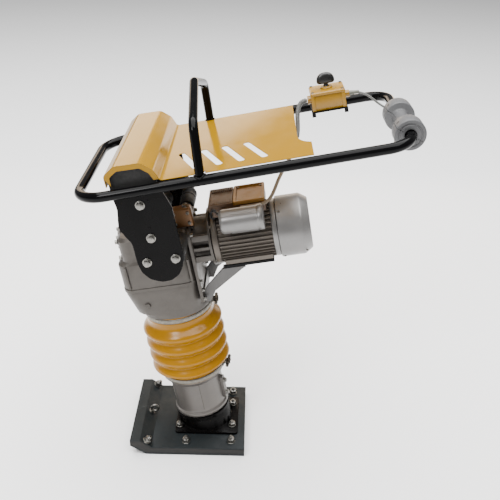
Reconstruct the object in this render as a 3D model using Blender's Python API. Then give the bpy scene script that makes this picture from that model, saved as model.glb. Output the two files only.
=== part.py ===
"""Electric tamping rammer (jumping jack): foot, spring leg with bellows, crankcase, motor and tube handle.

Metres, +Z up. The origin is the middle of the foot plate's flat underside. +X points to the rear, where the
operator stands, and +Y to the machine's right-hand side. The leg leans forward by LEG_TILT; everything built
"in the leg frame" is drawn upright along a vertical leg axis and leant by its parent empty. The handle has its
own empty, because it is carried on rubber and pitches a little more than the leg.
"""

import math

import bmesh
import bpy
from mathutils import Matrix, Vector

MM = 0.001
GAP = 0.3 * MM  # between pieces that touch

# ---------------------------------------------------------------- driving dimensions
LEG_TILT = math.radians(10.57)  # leg axis leans forward
HANDLE_PITCH = math.radians(11.55)  # handle frame rises to the rear
LEG_FOOT = Vector((10.2 * MM, 0.0, 100.0 * MM))  # a point on the leg axis, its zero height
HANDLE_HEIGHT = 763.7 * MM  # handle plane above LEG_FOOT, along the leg

FOOT_REAR = 142.7 * MM
FOOT_BEND = -142.7 * MM  # where the sole starts to rise
FOOT_KNEE = -126.4 * MM  # where the top starts to rise
FOOT_KINK = -158.1 * MM
FOOT_TIP = -187.3 * MM
FOOT_HALF_WIDTH = 142.5 * MM
FOOT_THICK = 26.7 * MM
SOLE_THICK = 8.0 * MM
TOP_PLATE_THICK = 4.0 * MM

CYL_R = 74.5 * MM  # lower spring cylinder
NECK_R = 88.0 * MM
TUBE_R_OUT = 54.0 * MM  # inner spring tube
TUBE_R_IN = 50.0 * MM
SLEEVE_R_IN = 55.2 * MM
SLEEVE_R_OUT = 61.0 * MM
BELLOWS_PEAK = 112.5 * MM
BELLOWS_VALLEY = 102.0 * MM

MOTOR_AXIS = 526.0 * MM  # height of the motor shaft in the leg frame
MODULE = 3.0 * MM
PINION_TEETH = 10
GEAR_TEETH = 50
CRANK_AXIS = MOTOR_AXIS - MODULE * (PINION_TEETH + GEAR_TEETH) / 2
CRANK_THROW = 26.0 * MM
WRIST = 305.0 * MM  # wrist pin height at top dead centre
CASE_Y = 92.0 * MM
MOTOR_R = 76.0 * MM
COWL_R = 81.0 * MM

RAIL_R = 12.5 * MM
RAIL_Y = 208.0 * MM
FRAME_FRONT = -136.0 * MM
FRAME_REAR = 647.0 * MM
FRAME_CORNER_REAR = 60.0 * MM
FRAME_CORNER_FRONT = 72.0 * MM
COVER_Y = 202.0 * MM
COVER_H = 12.8 * MM
SHEET = 2.0 * MM
LEAD_R = 2.9 * MM

# ---------------------------------------------------------------- scene and helpers
for old in list(bpy.data.objects):
    bpy.data.objects.remove(old, do_unlink=True)

SCENE = bpy.context.scene


def material(name, rgb, roughness, metallic):
    m = bpy.data.materials.new(name)
    m.use_nodes = True
    p = m.node_tree.nodes["Principled BSDF"]
    p.inputs["Base Color"].default_value = (*rgb, 1.0)
    p.inputs["Roughness"].default_value = roughness
    p.inputs["Metallic"].default_value = metallic
    return m


def empty(name, location, pitch):
    e = bpy.data.objects.new(name, None)
    e.location = location
    e.rotation_euler = (0.0, -pitch, 0.0)
    SCENE.collection.objects.link(e)
    return e


LEG = empty("leg_axes", LEG_FOOT, LEG_TILT)
LEG_UP = Vector((-math.sin(LEG_TILT), 0.0, math.cos(LEG_TILT)))
HANDLE = empty("handle_axes", LEG_FOOT + LEG_UP * HANDLE_HEIGHT, HANDLE_PITCH)


def shape(verts, faces):
    """A closed mesh from points and faces, its faces turned outward."""
    bm = bmesh.new()
    vs = [bm.verts.new(v) for v in verts]
    for f in faces:
        bm.faces.new([vs[i] for i in f])
    bmesh.ops.recalc_face_normals(bm, faces=bm.faces[:])
    me = bpy.data.meshes.new("shape")
    bm.to_mesh(me)
    bm.free()
    return me


def loft(sections):
    """A solid through equally numbered closed sections."""
    n = len(sections[0])
    verts = [p for s in sections for p in s]
    faces = [tuple(range(n)), tuple(reversed(range(len(verts) - n, len(verts))))]
    for k in range(len(sections) - 1):
        a, b = k * n, (k + 1) * n
        faces += [(a + i, a + (i + 1) % n, b + (i + 1) % n, b + i) for i in range(n)]
    return shape(verts, faces)


def place(axis, along, a, b):
    """Point at distance along an axis, with the two other coordinates in X, Y, Z order."""
    return {"X": (along, a, b), "Y": (a, along, b), "Z": (a, b, along)}[axis]


def prism(poly, axis, lo, hi):
    return loft([[place(axis, t, p, q) for p, q in poly] for t in (lo, hi)])


def box(x0, x1, y0, y1, z0, z1):
    return prism([(x0, y0), (x1, y0), (x1, y1), (x0, y1)], "Z", z0, z1)


def circle(r, n, cx=0.0, cy=0.0, start=0.0):
    return [
        (cx + r * math.cos(start + 2 * math.pi * i / n), cy + r * math.sin(start + 2 * math.pi * i / n))
        for i in range(n)
    ]


def rod(axis, r, lo, hi, a=0.0, b=0.0, n=24, start=0.0):
    return prism(circle(r, n, a, b, start), axis, lo, hi)


def turned(profile, axis="Z", a=0.0, b=0.0, n=32):
    """A turned solid. profile is a list of (radius, along); radius 0 at both ends closes it, else it is a ring."""
    verts, rings = [], []
    for r, t in profile:
        if r <= 0.0:
            rings.append([len(verts)])
            verts.append(place(axis, t, a, b))
        else:
            rings.append(list(range(len(verts), len(verts) + n)))
            verts += [place(axis, t, p, q) for p, q in circle(r, n, a, b)]
    faces = []
    pairs = list(zip(rings[:-1], rings[1:]))
    if profile[0][0] > 0.0 and profile[-1][0] > 0.0:
        pairs.append((rings[-1], rings[0]))
    for p, q in pairs:
        for i in range(n):
            j = (i + 1) % n
            if len(p) == 1 and len(q) == 1:
                continue
            if len(p) == 1:
                faces.append((p[0], q[j], q[i]))
            elif len(q) == 1:
                faces.append((p[i], p[j], q[0]))
            else:
                faces.append((p[i], p[j], q[j], q[i]))
    return shape(verts, faces)


def rounded(x0, x1, y0, y1, r, n=6):
    """A rectangle with round corners, n steps to each corner."""
    pts = []
    for cx, cy, a0 in ((x1 - r, y1 - r, 0), (x0 + r, y1 - r, 90), (x0 + r, y0 + r, 180), (x1 - r, y0 + r, 270)):
        for i in range(n + 1):
            a = math.radians(a0 + 90 * i / n)
            pts.append((cx + r * math.cos(a), cy + r * math.sin(a)))
    return pts


def swept(path, r, n=12, closed=False):
    """A round bar along a path, its section carried along without twisting."""
    path = [Vector(p) for p in path]
    count = len(path)
    tangents = []
    for i in range(count):
        before = path[i - 1] if closed or i else path[0]
        after = path[(i + 1) % count] if closed or i < count - 1 else path[-1]
        tangents.append((after - before).normalized())
    side = tangents[0].orthogonal().normalized()
    sections = []
    for i, (p, t) in enumerate(zip(path, tangents)):
        side = (side - t * side.dot(t)).normalized()
        other = t.cross(side)
        sections.append(
            [p + side * (r * math.cos(2 * math.pi * k / n)) + other * (r * math.sin(2 * math.pi * k / n)) for k in range(n)]
        )
    if not closed:
        return loft(sections)
    verts = [p for s in sections for p in s]
    last, first = sections[-1], sections[0]
    turn = min(range(n), key=lambda k: sum((last[i] - first[(i + k) % n]).length for i in range(n)))
    faces = []
    for k in range(count):
        a, b = k * n, ((k + 1) % count) * n
        shift = turn if k == count - 1 else 0
        faces += [(a + i, a + (i + 1) % n, b + (i + 1 + shift) % n, b + (i + shift) % n) for i in range(n)]
    return shape(verts, faces)


def bent(points, radius, steps=6, closed=False):
    """A path through corner points, each corner rounded to a radius."""
    pts = [Vector(p) for p in points]
    out = []
    for i, p in enumerate(pts):
        if not closed and i in (0, len(pts) - 1):
            out.append(p)
            continue
        r = radius[i] if isinstance(radius, (list, tuple)) else radius
        u = (pts[i - 1] - p).normalized()
        v = (pts[(i + 1) % len(pts)] - p).normalized()
        half = u.angle(v) / 2
        run = r / math.tan(half)
        middle = p + (u + v).normalized() * (r / math.sin(half))
        a, b = p + u * run - middle, p + v * run - middle
        swing = a.angle(b)
        for k in range(steps + 1):
            t = k / steps
            out.append(middle + (a * math.sin((1 - t) * swing) + b * math.sin(t * swing)) / math.sin(swing))
    return out


def moved(me, matrix):
    me.transform(matrix)
    return me


def combine(me, other, operation):
    """Joins a second solid to the first, or cuts it away."""
    a = bpy.data.objects.new("a", me)
    b = bpy.data.objects.new("b", other)
    SCENE.collection.objects.link(a)
    SCENE.collection.objects.link(b)
    m = a.modifiers.new("b", "BOOLEAN")
    m.object = b
    m.operation = operation
    m.solver = "EXACT"
    graph = bpy.context.evaluated_depsgraph_get()
    graph.update()
    out = bpy.data.meshes.new_from_object(a.evaluated_get(graph))
    bpy.data.objects.remove(a, do_unlink=True)
    bpy.data.objects.remove(b, do_unlink=True)
    return out


def join(me, *others):
    for o in others:
        me = combine(me, o, "UNION")
    return me


def cut(me, *others):
    for o in others:
        me = combine(me, o, "DIFFERENCE")
    return me


def node(name, me, mat, parent=None, location=(0.0, 0.0, 0.0), rotation=(0.0, 0.0, 0.0), bevel=0.0, segments=1):
    """Puts a named piece in the scene. With a location, its mesh is drawn about that point."""
    me.name = name
    me.materials.clear()
    me.materials.append(mat)
    me.shade_smooth()
    me.set_sharp_from_angle(angle=math.radians(32))
    ob = bpy.data.objects.new(name, me)
    SCENE.collection.objects.link(ob)
    ob.parent = parent
    ob.location = location
    ob.rotation_euler = rotation
    if bevel:
        b = ob.modifiers.new("edges", "BEVEL")
        b.width = bevel
        b.segments = segments
        b.limit_method = "ANGLE"
        b.angle_limit = math.radians(50)
    return ob


def about(me, x, y, z):
    """Redraws a mesh about a point, so that the point becomes its origin."""
    me.transform(Matrix.Translation((-x, -y, -z)))
    return me


def hexagon(across, cx, cy, turn=0.0):
    return circle(across / 2 / math.cos(math.pi / 6), 6, cx, cy, turn)


# ---------------------------------------------------------------- materials
SLATE = material("worn_steel", (0.13, 0.145, 0.155), 0.45, 0.7)
CORE = material("laminated_core", (0.035, 0.03, 0.025), 0.7, 0.0)
BLACK = material("black_steel", (0.012, 0.012, 0.013), 0.22, 0.1)
ZINC = material("zinc_steel", (0.5, 0.5, 0.48), 0.35, 1.0)
CAST = material("cast_grey", (0.30, 0.29, 0.27), 0.5, 0.35)
SILVER = material("silver_cast", (0.42, 0.41, 0.39), 0.42, 0.6)
YELLOW = material("yellow_gloss", (0.80, 0.47, 0.04), 0.12, 0.0)
RUBBER = material("yellow_rubber", (0.62, 0.27, 0.035), 0.28, 0.0)
BUFFER = material("black_rubber", (0.015, 0.015, 0.015), 0.75, 0.0)
STEEL = material("machined_steel", (0.55, 0.55, 0.54), 0.28, 1.0)
GREY = material("grey_plastic", (0.45, 0.45, 0.44), 0.5, 0.0)
TAN = material("tan_plastic", (0.30, 0.24, 0.19), 0.45, 0.0)
ORANGE = material("yellow_plastic", (0.75, 0.45, 0.06), 0.35, 0.0)
CABLE = material("grey_cable", (0.22, 0.21, 0.19), 0.55, 0.0)

# ---------------------------------------------------------------- foot plate, in world axes
RISE = 29.5 * MM  # sole height at the tip


def under(x):
    return 0.0 if x >= FOOT_BEND else RISE * (FOOT_BEND - x) / (FOOT_BEND - FOOT_TIP)


def over(x):
    if x >= FOOT_KNEE:
        return FOOT_THICK
    if x >= FOOT_KINK:
        return FOOT_THICK + 23.5 * MM * (FOOT_KNEE - x) / (FOOT_KNEE - FOOT_KINK)
    return 50.2 * MM - 0.8 * MM * (FOOT_KINK - x) / (FOOT_KINK - FOOT_TIP)


def layer(low, high):
    xs = [FOOT_REAR, FOOT_KNEE, FOOT_BEND, FOOT_KINK, FOOT_TIP]
    poly = [(x, low(x)) for x in xs] + [(x, high(x)) for x in reversed(xs)]
    return prism(poly, "Y", -FOOT_HALF_WIDTH, FOOT_HALF_WIDTH)


node("foot_sole", layer(under, lambda x: under(x) + SOLE_THICK), SLATE)
node("foot_core", layer(lambda x: under(x) + SOLE_THICK + GAP, lambda x: over(x) - TOP_PLATE_THICK - GAP), CORE)
node("foot_top_plate", layer(lambda x: over(x) - TOP_PLATE_THICK, over), SLATE)


def stud():
    """Washer, hexagon nut and stud end, standing on its base."""
    me = rod("Z", 12.0 * MM, 0.0, 2.2 * MM, n=14)
    me = join(me, prism(hexagon(19.0 * MM, 0, 0), "Z", 2.0 * MM, 13.0 * MM))
    return join(me, rod("Z", 5.5 * MM, 12.0 * MM, 21.0 * MM, n=8))


RAMP = math.atan2(23.5, 31.7)
for i, (x, y) in enumerate(((-141.0, -129.0), (-141.0, 129.0), (-28.0, -116.0), (-28.0, 116.0), (103.0, -112.0), (103.0, 112.0))):
    front = x < -100
    base = Vector((x * MM, y * MM, over(x * MM)))
    lift = Vector((math.sin(RAMP), 0, math.cos(RAMP))) if front else Vector((0, 0, 1))
    node(f"foot_stud_{i + 1}", stud(), ZINC, location=base + lift * GAP, rotation=(0, RAMP if front else 0, 0))

# lashing ring on the ramp
eye = swept(
    [(10.5 * MM * math.cos(2 * math.pi * k / 16), 0, 17.0 * MM + 10.5 * MM * math.sin(2 * math.pi * k / 16)) for k in range(16)],
    3.2 * MM,
    6,
    closed=True,
)
eye = join(eye, rod("Z", 4.5 * MM, 2.0 * MM, 7.5 * MM, n=12), rod("Z", 9.0 * MM, 0.0, 3.0 * MM, n=16))
node(
    "lashing_ring",
    eye,
    ZINC,
    location=Vector((-142.0 * MM, 0, over(-142.0 * MM))) + Vector((math.sin(RAMP), 0, math.cos(RAMP))) * GAP,
    rotation=(0, RAMP, 0),
)

# ---------------------------------------------------------------- base flange and collar
to_leg = Matrix.Translation(LEG_FOOT) @ Matrix.Rotation(-LEG_TILT, 4, "Y")
FLANGE_BOTTOM = FOOT_THICK + GAP
FLANGE_TOP = 34.0 * MM
collar = moved(turned([(0, -90 * MM), (77.5 * MM, -90 * MM), (77.5 * MM, -17.3 * MM), (0, -17.3 * MM)], n=40), to_leg)
below = box(-200 * MM, 200 * MM, -200 * MM, 200 * MM, -60 * MM, 30.5 * MM)
collar = cut(collar, below)
flange = prism(rounded(-63 * MM, 122 * MM, -83 * MM, 83 * MM, 9 * MM, 3), "Z", FLANGE_BOTTOM, FLANGE_TOP)
flange = join(flange, collar)
flange = cut(flange, moved(rod("Z", 62.0 * MM, -40.0 * MM, 20 * MM, n=40), to_leg))
for x, y in ((-52, -54), (-52, 54), (104, -49), (104, 49)):
    flange = join(flange, prism(hexagon(15 * MM, x * MM, y * MM), "Z", 33 * MM, 42 * MM))
node("base_flange", flange, BLACK)

# ---------------------------------------------------------------- leg, foot side, in the leg frame
barrel = turned(
    [(64 * MM, -17 * MM), (75 * MM, -17 * MM), (79 * MM, -12 * MM), (79 * MM, -3 * MM), (CYL_R, 2 * MM), (CYL_R, 98 * MM),
     (NECK_R, 112 * MM), (NECK_R, 139 * MM), (64 * MM, 139 * MM)],
    n=28,
)
LUG = math.radians(-14)
lug = prism(rounded(-9 * MM, 9 * MM, 4 * MM, 84 * MM, 8.9 * MM, 4), "X", 70 * MM, 84 * MM)
barrel = join(barrel, moved(lug, Matrix.Rotation(LUG, 4, "Z")))
node("lower_cylinder", barrel, SILVER, LEG)
plug = join(rod("X", 8 * MM, 84.3 * MM, 87.5 * MM, 0, 66 * MM, 20), prism(hexagon(11 * MM, 0, 66 * MM), "X", 87 * MM, 91.5 * MM))
node("sight_plug", moved(plug, Matrix.Rotation(LUG, 4, "Z")), STEEL, LEG)

node(
    "spring_tube",
    turned(
        [(20 * MM, -39.7 * MM), (61.5 * MM, -39.7 * MM), (61.5 * MM, -32 * MM), (TUBE_R_OUT, -32 * MM), (TUBE_R_OUT, 205 * MM),
         (15 * MM, 205 * MM), (15 * MM, 197 * MM), (TUBE_R_IN, 197 * MM), (TUBE_R_IN, -32 * MM), (20 * MM, -32 * MM)],
        n=20,
    ),
    STEEL,
    LEG,
)


def coil(low, high, turns, r, wire):
    steps = 8
    total = int(turns * steps)
    pts = []
    for k in range(total + 1):
        a = 2 * math.pi * k / steps
        pts.append((r * math.cos(a), r * math.sin(a), low + wire + (high - low - 2 * wire) * k / total))
    return swept(pts, wire, 5)


node("lower_spring", coil(-31.4 * MM, 69.6 * MM, 4.5, 40 * MM, 5 * MM), STEEL, LEG)
node("upper_spring", coil(95.6 * MM, 196.4 * MM, 4.5, 36 * MM, 5 * MM), STEEL, LEG)


def clamp(r, low, high, ear_at):
    """Band with a pair of ears and a screw across them."""
    me = turned([(r, low), (r + 2.4 * MM, low), (r + 2.4 * MM, high), (r, high)], n=28)
    mid = (low + high) / 2
    ears = box(r + 1.2 * MM, r + 22 * MM, -8 * MM, 8 * MM, low + 1.5 * MM, high - 1.5 * MM)
    screw = rod("Y", 4 * MM, -18 * MM, 18 * MM, r + 15 * MM, mid, 10)
    return join(me, moved(join(ears, screw), Matrix.Rotation(ear_at, 4, "Z")))


node("lower_clamp", clamp(90.3 * MM, 119 * MM, 133 * MM, math.radians(-6)), ZINC, LEG)

# ---------------------------------------------------------------- bellows
PEAKS = (157.0, 197.0, 238.0, 280.0)
outer = [(90.0, 118.0), (90.1, 136.0), (93.0, 141.5)]
for k, s in enumerate(PEAKS):
    outer += [(BELLOWS_PEAK / MM - 1.0, s - 7.5), (BELLOWS_PEAK / MM - 1.0, s + 7.5)]
    if k < 3:
        outer.append((BELLOWS_VALLEY / MM, (s + PEAKS[k + 1]) / 2))
outer += [(95.5, 301.0), (93.2, 306.0), (91.5, 313.0), (91.3, 341.0)]
inner = [(89.3, 341.0), (89.3, 306.0), (91.5, 302.5)]
for k in range(3, -1, -1):
    inner.append((BELLOWS_PEAK / MM - 2.4, PEAKS[k]))
    if k:
        inner.append((BELLOWS_VALLEY / MM - 2.2, (PEAKS[k] + PEAKS[k - 1]) / 2))
inner += [(90.0, 142.0), (88.3, 139.5), (88.3, 118.0)]
node("bellows", turned([(r * MM, s * MM) for r, s in outer + inner], n=28), RUBBER, LEG)

# ---------------------------------------------------------------- leg, upper side
node("upper_clamp", clamp(91.6 * MM, 324 * MM, 338 * MM, math.radians(2)), ZINC, LEG)
node(
    "guide_sleeve",
    turned(
        [(SLEEVE_R_IN, 60 * MM), (SLEEVE_R_OUT, 60 * MM), (SLEEVE_R_OUT, 352.3 * MM), (69 * MM, 352.3 * MM), (69 * MM, 356.5 * MM),
         (SLEEVE_R_IN, 356.5 * MM)],
        n=20,
    ),
    STEEL,
    LEG,
)

# ---------------------------------------------------------------- crankcase
SPLIT = 440.0 * MM


def ring(x0, x1, y, r, z, n=5):
    return [(p, q, z) for p, q in rounded(x0, x1, -y, y, r, n)]


lower = loft(
    [
        ring(-98 * MM, 94 * MM, 93 * MM, 84 * MM, 342 * MM),
        ring(-98 * MM, 94 * MM, 93 * MM, 84 * MM, 350 * MM),
        ring(-106 * MM, 80 * MM, CASE_Y, 56 * MM, 362 * MM),
        ring(-116 * MM, 80 * MM, CASE_Y, 34 * MM, 422 * MM),
        ring(-117 * MM, 80 * MM, CASE_Y, 30 * MM, SPLIT - GAP),
    ]
)
lower = join(lower, rod("Z", 89 * MM, 322 * MM, 345 * MM, n=28))
hollow = loft(
    [
        ring(-96 * MM, 71 * MM, 80 * MM, 50 * MM, 352 * MM),
        ring(-107 * MM, 71 * MM, 84 * MM, 28 * MM, 422 * MM),
        ring(-108 * MM, 71 * MM, 84 * MM, 24 * MM, 460 * MM),
    ]
)
lower = cut(lower, hollow, rod("Z", 61.4 * MM, 300 * MM, 360 * MM, n=32), box(60 * MM, 100 * MM, -50 * MM, 50 * MM, 396 * MM, 470 * MM))
node("crankcase_lower", lower, CAST, LEG)

upper = loft(
    [
        ring(-117 * MM, 80 * MM, CASE_Y, 30 * MM, SPLIT),
        ring(-117 * MM, 80 * MM, CASE_Y, 30 * MM, 516 * MM),
        ring(-104 * MM, 80 * MM, CASE_Y - 4 * MM, 30 * MM, 524 * MM),
        ring(-104 * MM, 80 * MM, CASE_Y - 4 * MM, 30 * MM, 582 * MM),
        ring(-96 * MM, 76 * MM, CASE_Y - 12 * MM, 26 * MM, 590 * MM),
    ]
)
COVER_Z = 558.0 * MM  # height of the round inspection cover
BUFFERS = ((-5.8, 576.4), (64.2, 576.7))
for x, z in BUFFERS:
    upper = join(upper, rod("Y", 15.5 * MM, -152.7 * MM, -70 * MM, x * MM, z * MM, 16), rod("Y", 15.5 * MM, 70 * MM, 152.7 * MM, x * MM, z * MM, 16))
hollow = loft(
    [
        ring(-108 * MM, 71 * MM, 84 * MM, 24 * MM, 430 * MM),
        ring(-108 * MM, 71 * MM, 84 * MM, 24 * MM, 512 * MM),
        ring(-96 * MM, 71 * MM, 80 * MM, 24 * MM, 522 * MM),
        ring(-96 * MM, 71 * MM, 80 * MM, 24 * MM, 580 * MM),
    ]
)
upper = cut(upper, hollow, box(60 * MM, 100 * MM, -50 * MM, 50 * MM, 400 * MM, 560 * MM), rod("X", 26 * MM, -130 * MM, -80 * MM, 0, COVER_Z, 24))
node("crankcase_upper", upper, CAST, LEG)

cover = rod("X", 33 * MM, -110 * MM, -104.3 * MM, 0, COVER_Z, 28)
cover = join(cover, rod("X", 25.4 * MM, -105 * MM, -98 * MM, 0, COVER_Z, 24))
for k in range(6):
    a = math.radians(60 * k + 30)
    cover = join(cover, prism(hexagon(8 * MM, 27.5 * MM * math.cos(a), COVER_Z + 27.5 * MM * math.sin(a)), "X", -114 * MM, -109 * MM))
node("front_cover", cover, SILVER, LEG)

cap = loft(
    [[(x, y, z) for x, y in rounded(46 * MM, 100 * MM, -60 * MM, -32 * MM, 6 * MM, 3)] for z in (590.3 * MM, 637 * MM)]
    + [[(x, y, 641 * MM) for x, y in rounded(49 * MM, 97 * MM, -57 * MM, -35 * MM, 4 * MM, 3)]]
)
cap = join(cap, prism(hexagon(13 * MM, 86 * MM, -46 * MM), "Z", 640 * MM, 648 * MM))
node("gear_case_cap", cap, CAST, LEG)

# rear cover of the gear case, cast in one with the struts and ring that carry the motor
back = prism(rounded(-88 * MM, 88 * MM, 372 * MM, 586 * MM, 14 * MM, 3), "X", 80.3 * MM, 88.0 * MM)
back = join(back, rod("X", 32 * MM, 50 * MM, 81 * MM, 0, CRANK_AXIS, 20), rod("X", 77 * MM, 130 * MM, 136.7 * MM, 0, MOTOR_AXIS, 28))
for y in (-66, 66):
    for z in (MOTOR_AXIS / MM - 30, MOTOR_AXIS / MM + 30):
        back = join(back, box(86 * MM, 132 * MM, (y - 5) * MM, (y + 5) * MM, (z - 8) * MM, (z + 8) * MM))
    back = join(back, box(86 * MM, 132 * MM, (y - 7) * MM, (y + 7) * MM, MOTOR_AXIS - 4 * MM, MOTOR_AXIS + 4 * MM))
back = join(back, rod("X", 58 * MM, 87 * MM, 131 * MM, 0, MOTOR_AXIS, 24))
back = cut(
    back,
    rod("X", 52 * MM, 88.2 * MM, 129.8 * MM, 0, MOTOR_AXIS, 24),
    rod("X", 24.3 * MM, 45 * MM, 79 * MM, 0, CRANK_AXIS, 20),
    rod("X", 20 * MM, 70 * MM, 95 * MM, 0, MOTOR_AXIS, 16),
    rod("X", 42 * MM, 125 * MM, 145 * MM, 0, MOTOR_AXIS, 20),
)
node("gear_case_cover", back, CAST, LEG)

# ---------------------------------------------------------------- crank drive


def toothed(teeth, phase):
    """Outline of a spur gear, teeth slightly slim for backlash."""
    r = MODULE * teeth / 2
    out = []
    for k in range(teeth):
        a = phase + 2 * math.pi * k / teeth
        pitch = 2 * math.pi / teeth
        for rr, w in ((r - 1.2 * MODULE, -0.31), (r + 0.9 * MODULE, -0.12), (r + 0.9 * MODULE, 0.12), (r - 1.2 * MODULE, 0.31)):
            out.append((rr * math.cos(a + w * pitch), rr * math.sin(a + w * pitch)))
    return out


# outlines are drawn as (y, z) about each axis; a gear tooth points up at the pinion, whose gap points down
gear = prism(toothed(GEAR_TEETH, math.pi / 2), "X", 20.3 * MM, 40.0 * MM)
gear = join(gear, rod("X", 12 * MM, 38 * MM, 78 * MM, n=20), rod("X", 12.5 * MM, 8.4 * MM, 22 * MM, 0, CRANK_THROW, 20))
weight = [(58 * MM * math.cos(math.radians(a)), 58 * MM * math.sin(math.radians(a))) for a in range(200, 341, 14)]
gear = join(gear, prism(weight, "X", 12 * MM, 21 * MM))
node("crank_gear", gear, STEEL, LEG, (0, 0, CRANK_AXIS))
node("crank_bearing", turned([(12.3 * MM, 54 * MM), (24 * MM, 54 * MM), (24 * MM, 70 * MM), (12.3 * MM, 70 * MM)], "X", 0, CRANK_AXIS, 20), STEEL, LEG)

ROD_LENGTH = CRANK_AXIS + CRANK_THROW - WRIST
beam = [(-8, 10), (-10, ROD_LENGTH / MM - 12), (10, ROD_LENGTH / MM - 12), (8, 10)]
link = prism([(y * MM, z * MM) for y, z in beam], "X", -6 * MM, 6 * MM)
link = join(link, rod("X", 15 * MM, -8 * MM, 8 * MM, 0, 0, 24), rod("X", 20 * MM, -8 * MM, 8 * MM, 0, ROD_LENGTH, 24))
link = cut(link, rod("X", 7.3 * MM, -20 * MM, 20 * MM, 0, 0, 16), rod("X", 13 * MM, -20 * MM, 20 * MM, 0, ROD_LENGTH, 20))
node("connecting_rod", link, STEEL, LEG, (0, 0, WRIST))
node("wrist_pin", rod("X", 7 * MM, -22 * MM, 22 * MM, n=16), STEEL, LEG, (0, 0, WRIST))

piston = turned([(0, 70 * MM), (49.3 * MM, 70 * MM), (49.3 * MM, 95 * MM), (14 * MM, 95 * MM), (14 * MM, 274 * MM), (24 * MM, 280 * MM),
                 (24 * MM, 322 * MM), (0, 322 * MM)], n=20)
piston = cut(piston, box(-8.6 * MM, 8.6 * MM, -40 * MM, 40 * MM, 288 * MM, 340 * MM), rod("X", 7.3 * MM, -40 * MM, 40 * MM, 0, WRIST, 16))
node("piston", about(piston, 0, 0, WRIST), STEEL, LEG, (0, 0, WRIST))

# ---------------------------------------------------------------- motor, about its shaft at MOTOR_AXIS
AX = (0.0, 0.0, MOTOR_AXIS)
shaft = turned([(0, 17 * MM), (8.7 * MM, 17 * MM), (8.7 * MM, 140 * MM), (12 * MM, 142 * MM), (12 * MM, 172 * MM), (43 * MM, 172 * MM),
                (43 * MM, 280 * MM), (12 * MM, 280 * MM), (12 * MM, 306 * MM), (8.7 * MM, 308 * MM), (8.7 * MM, 352 * MM), (0, 352 * MM)], "X", n=28)
node("motor_rotor", join(shaft, prism(toothed(PINION_TEETH, math.pi / 2 + math.pi / PINION_TEETH), "X", 20.3 * MM, 40.3 * MM)), STEEL, LEG, AX)
fan = turned([(9 * MM, 322 * MM), (18 * MM, 322 * MM), (18 * MM, 326 * MM), (66 * MM, 326 * MM), (66 * MM, 329 * MM), (18 * MM, 329 * MM),
              (18 * MM, 346 * MM), (9 * MM, 346 * MM)], "X", n=16)
blade = box(328 * MM, 345 * MM, -1.2 * MM, 1.2 * MM, 16 * MM, 64 * MM)
for k in range(6):
    fan = join(fan, moved(blade.copy(), Matrix.Rotation(2 * math.pi * (k + 0.5) / 6, 4, "X")))
node("cooling_fan", fan, BUFFER, LEG, AX)

for name, face, way in (("front_end_bell", 137, 1), ("rear_end_bell", 310.5, -1)):
    prof = [(14, 0), (76, 0), (76, 19 if way > 0 else 14.5), (62, 19 if way > 0 else 14.5), (62, 7.5), (24, 7.5), (24, 19), (20, 19), (20, 6), (14, 6)]
    node(name, turned([(r * MM, (face + way * t) * MM) for r, t in prof], "X", 0, MOTOR_AXIS, 28), SILVER, LEG)
for name, at in (("front_motor_bearing", 144), ("rear_motor_bearing", 293)):
    node(name, turned([(12.3 * MM, at * MM), (19.7 * MM, at * MM), (19.7 * MM, (at + 11) * MM), (12.3 * MM, (at + 11) * MM)], "X", 0, MOTOR_AXIS, 24), STEEL, LEG)

FINS = 24
fins = []
for k in range(FINS):
    a = 2 * math.pi * k / FINS
    for rr, w in ((69.5 * MM, -0.5), (69.5 * MM, -0.2), (MOTOR_R, -0.13), (MOTOR_R, 0.13), (69.5 * MM, 0.2)):
        t = a + w * 2 * math.pi / FINS
        fins.append((rr * math.cos(t), MOTOR_AXIS + rr * math.sin(t)))
housing = prism(fins, "X", 156.3 * MM, 295.7 * MM)
for y0, y1 in ((-70, -44), (44, 70)):
    housing = join(housing, box(160 * MM, 290 * MM, y0 * MM, y1 * MM, 460 * MM, 482 * MM))
# the windings' core is pressed into the finned housing, so the bore steps in between 170 and 282
housing = cut(
    housing,
    turned([(0, 150 * MM), (62 * MM, 150 * MM), (62 * MM, 170 * MM), (44.2 * MM, 170 * MM), (44.2 * MM, 282 * MM), (62 * MM, 282 * MM),
            (62 * MM, 300 * MM), (0, 300 * MM)], "X", 0, MOTOR_AXIS, 36),
)
node("stator_housing", housing, SILVER, LEG)

cowl = turned([(78.6 * MM, 311 * MM), (COWL_R, 311 * MM), (COWL_R, 384 * MM), (72 * MM, 395 * MM), (10 * MM, 395 * MM), (10 * MM, 393 * MM),
               (71 * MM, 393 * MM), (78.6 * MM, 383 * MM)], "X", 0, MOTOR_AXIS, 28)
for k in range(8):
    slot = box(385 * MM, 400 * MM, -5 * MM, 5 * MM, 22 * MM, 62 * MM)
    cowl = cut(cowl, moved(moved(slot, Matrix.Rotation(2 * math.pi * k / 8, 4, "X")), Matrix.Translation((0, 0, MOTOR_AXIS))))
node("fan_cowl", cowl, GREY, LEG)

# capacitor housing on the near upper side of the motor, with a saddle down to the fins
CAP_Y, CAP_Z, CAP_R = -93.0 * MM, 604.0 * MM, 31.0 * MM
can = loft(
    [[(x * MM, CAP_Y + r * p, CAP_Z + r * q) for p, q in circle(1.0, 24)] for x, r in
     ((171, CAP_R - 7 * MM), (173, CAP_R - 3 * MM), (178, CAP_R), (270, CAP_R), (276, CAP_R + 1.5 * MM), (281, CAP_R + 1.5 * MM), (283, CAP_R - 2 * MM))]
)
saddle = loft([[(x, -78 * MM, 560 * MM), (x, -62 * MM, 574 * MM), (x, -72 * MM, 596 * MM), (x, -96 * MM, 580 * MM)] for x in (195 * MM, 265 * MM)])
can = cut(join(can, saddle), rod("X", MOTOR_R + 0.4 * MM, 150 * MM, 300 * MM, 0, MOTOR_AXIS, 48))
node("capacitor_housing", can, SILVER, LEG)

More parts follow.
